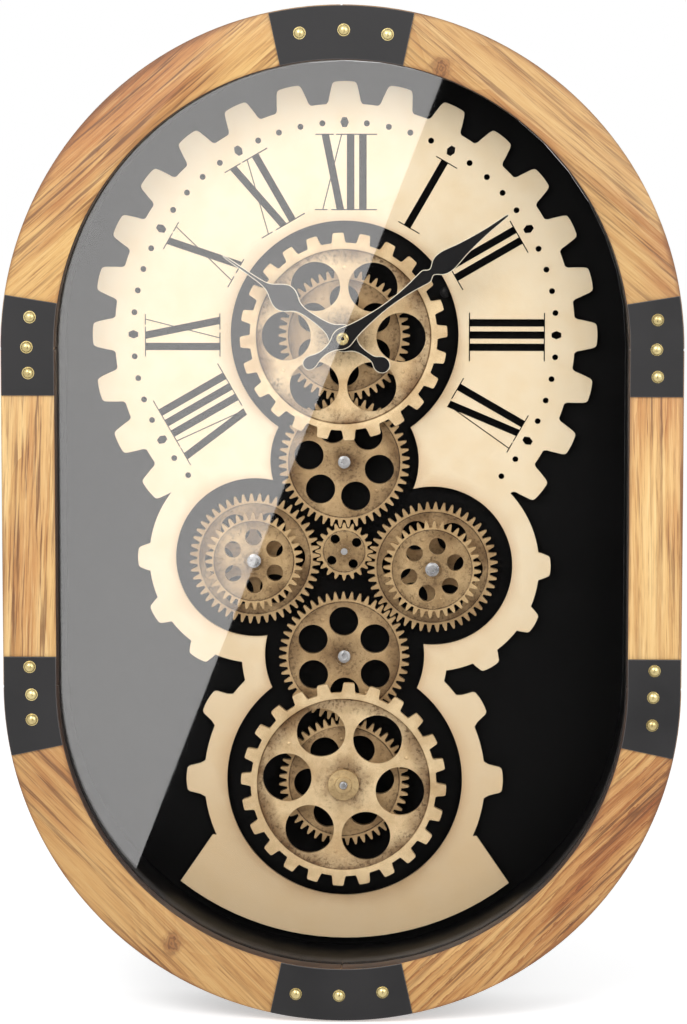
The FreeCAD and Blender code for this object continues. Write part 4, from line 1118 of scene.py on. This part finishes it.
# A round cell: a steel can in a plain printed sleeve, dark with a copper band at its plus end.
sleeve, tree, shader = new_finish("cell_sleeve", Roughness=0.28, Metallic=0.3)
place = object_place(tree)
along = put(tree, "SeparateXYZ", {0: place}).outputs[0]
band = spread(tree, along, 0.0125, 0.0127)
tint = mixed(tree, band, tone(42, 46, 54), tone(190, 120, 66))
lead(tree, shader, mixed(tree, spread(tree, noise(tree, place, (60, 200, 200), 3), 0.3, 0.7, 0, 0.3), tint,
                         tone(70, 72, 78)))
can_steel = smooth_finish("can_steel", scale=300, dark=(190, 190, 192), light=(222, 222, 224),
                          shine=(0.2, 0.34), Metallic=1)
CELL_LENGTH = 0.0492
for node in ("movement_cell", "motor_cell"):
    low, high = (Vector(corner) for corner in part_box(node))
    bpy.ops.object.select_all(action="DESELECT")
    bpy.ops.mesh.primitive_cylinder_add(vertices=64, radius=0.0071, depth=CELL_LENGTH,
                                        rotation=(0, math.radians(90), 0))
    bpy.ops.object.transform_apply(location=False, rotation=True, scale=False)
    cell = bpy.context.object
    cell.name = "round_" + node
    for face in cell.data.polygons:
        face.select = face.normal.x > 0.9
    bpy.ops.object.mode_set(mode="EDIT")
    bpy.ops.mesh.select_mode(type="FACE")
    bpy.ops.mesh.inset(thickness=0.0044, depth=0)
    extrude(0.0013, 0, 0)
    close_up()
    for face in cell.data.polygons:
        face.material_index = int(abs(face.normal.x) > 0.9 or face.center.x > CELL_LENGTH / 2 + 0.0001)
    round_edges(cell, 0.0004, segments=3)
    shift(cell, low.x + CELL_LENGTH / 2, (low.y + high.y) / 2, (low.z + high.z) / 2)
    fit(cell, "case", "cell_sleeve", node, finishes=(sleeve, can_steel))


# A softwood block glued behind the board carries the stamped steel hanger. Its keyhole drops over a screw in
# the wall, and two countersunk screws hold it flush.
block_wood, tree, shader = new_finish("bare_block", Roughness=0.7)
place = object_place(tree)
wood = used(tree, pine, Grain=place, Place=place, Knot=NO_KNOT, Stripes=0.4, Singe=0.2,
            Stain=tone(240, 236, 224))
lead(tree, shader, wood["Color"], height=wood["Height"], depth=0.0003)
piece = copy_of("hanger_block", "hanging_block")
round_edges(piece, 0.0008)
fit(piece, "case", "block_wood", "hanger_block", finishes=(block_wood,))
zinc, tree, shader = new_finish("zinc_plate", Metallic=0.9)
spangle = put(tree, "TexVoronoi", {"Vector": object_place(tree), "Scale": 260}).outputs["Color"]
lead(tree, shader, mixed(tree, 0.12, tone(186, 188, 192), spangle), spread(tree, spangle, 0, 1, 0.3, 0.42))
strap = copy_of("wall_hanger", "keyhole_strap")
SCREW_SPREAD, SCREW_Z = 0.019, 0.246
for x in (-SCREW_SPREAD, SCREW_SPREAD):
    combine(strap, rod(0.0034, x, SCREW_Z, -0.0012, 0.002, 32), "DIFFERENCE")
round_edges(strap, 0.00025)
fit(strap, "case", "bright_steel", "wall_hanger", finishes=(zinc,))
for number, x in enumerate((-SCREW_SPREAD, SCREW_SPREAD), 1):
    screw = rod(0.0032, 0, 0, -0.0005, 0.0005, 32)
    screw.name = "hanger_screw_%d" % number
    press(screw, (0.0005, 0.00015, 0), front=False)
    cut_cross(screw, 0.0036, 0.0006, 0.0009)
    shift(screw, x, -0.0007, SCREW_Z)
    fit(screw, "case", "bright_steel", finishes=(zinc,))


# The studio: a pale floor, white all round, a soft key light from the upper left, a weaker fill from the
# right, and the cards that the glass mirrors. Only reflections see the cards.
world = bpy.data.worlds.new("studio")
bpy.context.scene.world = world
world.use_nodes = True
tree = world.node_tree
backdrop = tree.nodes["Background"]
backdrop.inputs["Color"].default_value = (1, 1, 1, 1)
seen = put(tree, "LightPath").outputs
direct = maths(tree, "MAXIMUM", maths(tree, "MAXIMUM", seen["Is Camera Ray"], seen["Is Glossy Ray"]),
               seen["Is Transmission Ray"])
tree.links.new(spread(tree, direct, 0, 1, 0.6, 1), backdrop.inputs["Strength"])

bpy.ops.object.select_all(action="DESELECT")
bpy.ops.mesh.primitive_plane_add(size=14, location=(0, 0, cad_box[0][2] - 0.0005))
floor = bpy.context.object
floor.name = "floor"
floor_paint, tree, shader = new_finish("floor_white", Roughness=0.9, Specular_IOR_Level=0)
scuffs = noise(tree, object_place(tree), 3, 2)
lead(tree, shader, ramp(tree, scuffs, (0.3, grey(0.93)), (0.7, grey(0.95))))
shader.inputs["Emission Color"].default_value = (1, 1, 1, 1)
seen = put(tree, "LightPath").outputs["Is Camera Ray"]
tree.links.new(times(tree, seen, 0.42), shader.inputs["Emission Strength"])
floor.data.materials.append(floor_paint)
floor.visible_glossy = False

for name, place, size, energy in (("key_light", (-0.75, -2.0, 1.2), 1, 27),
                                  ("fill_light", (1.2, -1.9, 0.8), 1.2, 20)):
    lamp = bpy.data.lights.new(name, "AREA")
    lamp.size = size
    lamp.energy = energy
    holder = add_object(name, lamp)
    holder.location = place
    holder.rotation_euler = (Vector((0, -0.04, 0)) - Vector(place)).to_track_quat("-Z", "Y").to_euler()

# The cards stand in front of the clock. Their corners are where the camera's view, mirrored in the pane,
# meets them.
CARD_Y, PANE_Y = -1.3, -front_of("glass_pane")
CAMERA = Vector((0.08, -2.4697, 0.2617))
growth = (2 * PANE_Y - CAMERA.y - CARD_Y) / (PANE_Y - CAMERA.y)


def card(name, level, *corners):
    """A flat card that covers this outline on the pane, as the camera sees it mirrored."""
    points = [(CAMERA.x + growth * (x - CAMERA.x), CARD_Y, CAMERA.z + growth * (z - CAMERA.z))
              for x, z in corners]
    mesh = bpy.data.meshes.new(name)
    mesh.from_pydata(points, [], [range(len(points))])
    piece = add_object(name, mesh)
    finish, tree, shader = new_finish(name, Base_Color=(0, 0, 0, 1), Roughness=1, Specular_IOR_Level=0,
                                      Emission_Color=(1, 0.985, 0.97, 1), Emission_Strength=level)
    mesh.materials.append(finish)
    for key in ("camera", "diffuse", "transmission", "volume_scatter", "shadow"):
        setattr(piece, "visible_" + key, False)


# The bright card ends along a slope, and the dark card takes up the rest.
SIDE, LEVEL = 0.24, 0.34
slope_top, slope_foot = (0.0905, LEVEL), (-0.1728, -LEVEL)
card("bright_card", 1.56, (-SIDE, LEVEL), slope_top, slope_foot, (-SIDE, -LEVEL))
card("dark_card", 0.0, slope_top, (SIDE, LEVEL), (SIDE, -LEVEL), slope_foot)

# The camera stands at the photograph's height and distance. Its small shift frames the clock as there.
lens = bpy.data.cameras.new("camera")
lens.sensor_fit = "VERTICAL"
lens.sensor_height = 36
lens.lens = 143.88
lens.shift_x = 2.1 / 1024
lens.shift_y = 7.53 / 1024
lens.clip_end = 50
camera = add_object("camera", lens)
camera.location = CAMERA
camera.rotation_euler = (Vector((0, -0.084, 0)) - CAMERA).to_track_quat("-Z", "Y").to_euler()
bpy.context.scene.camera = camera
bpy.context.scene.view_settings.view_transform = "Standard"
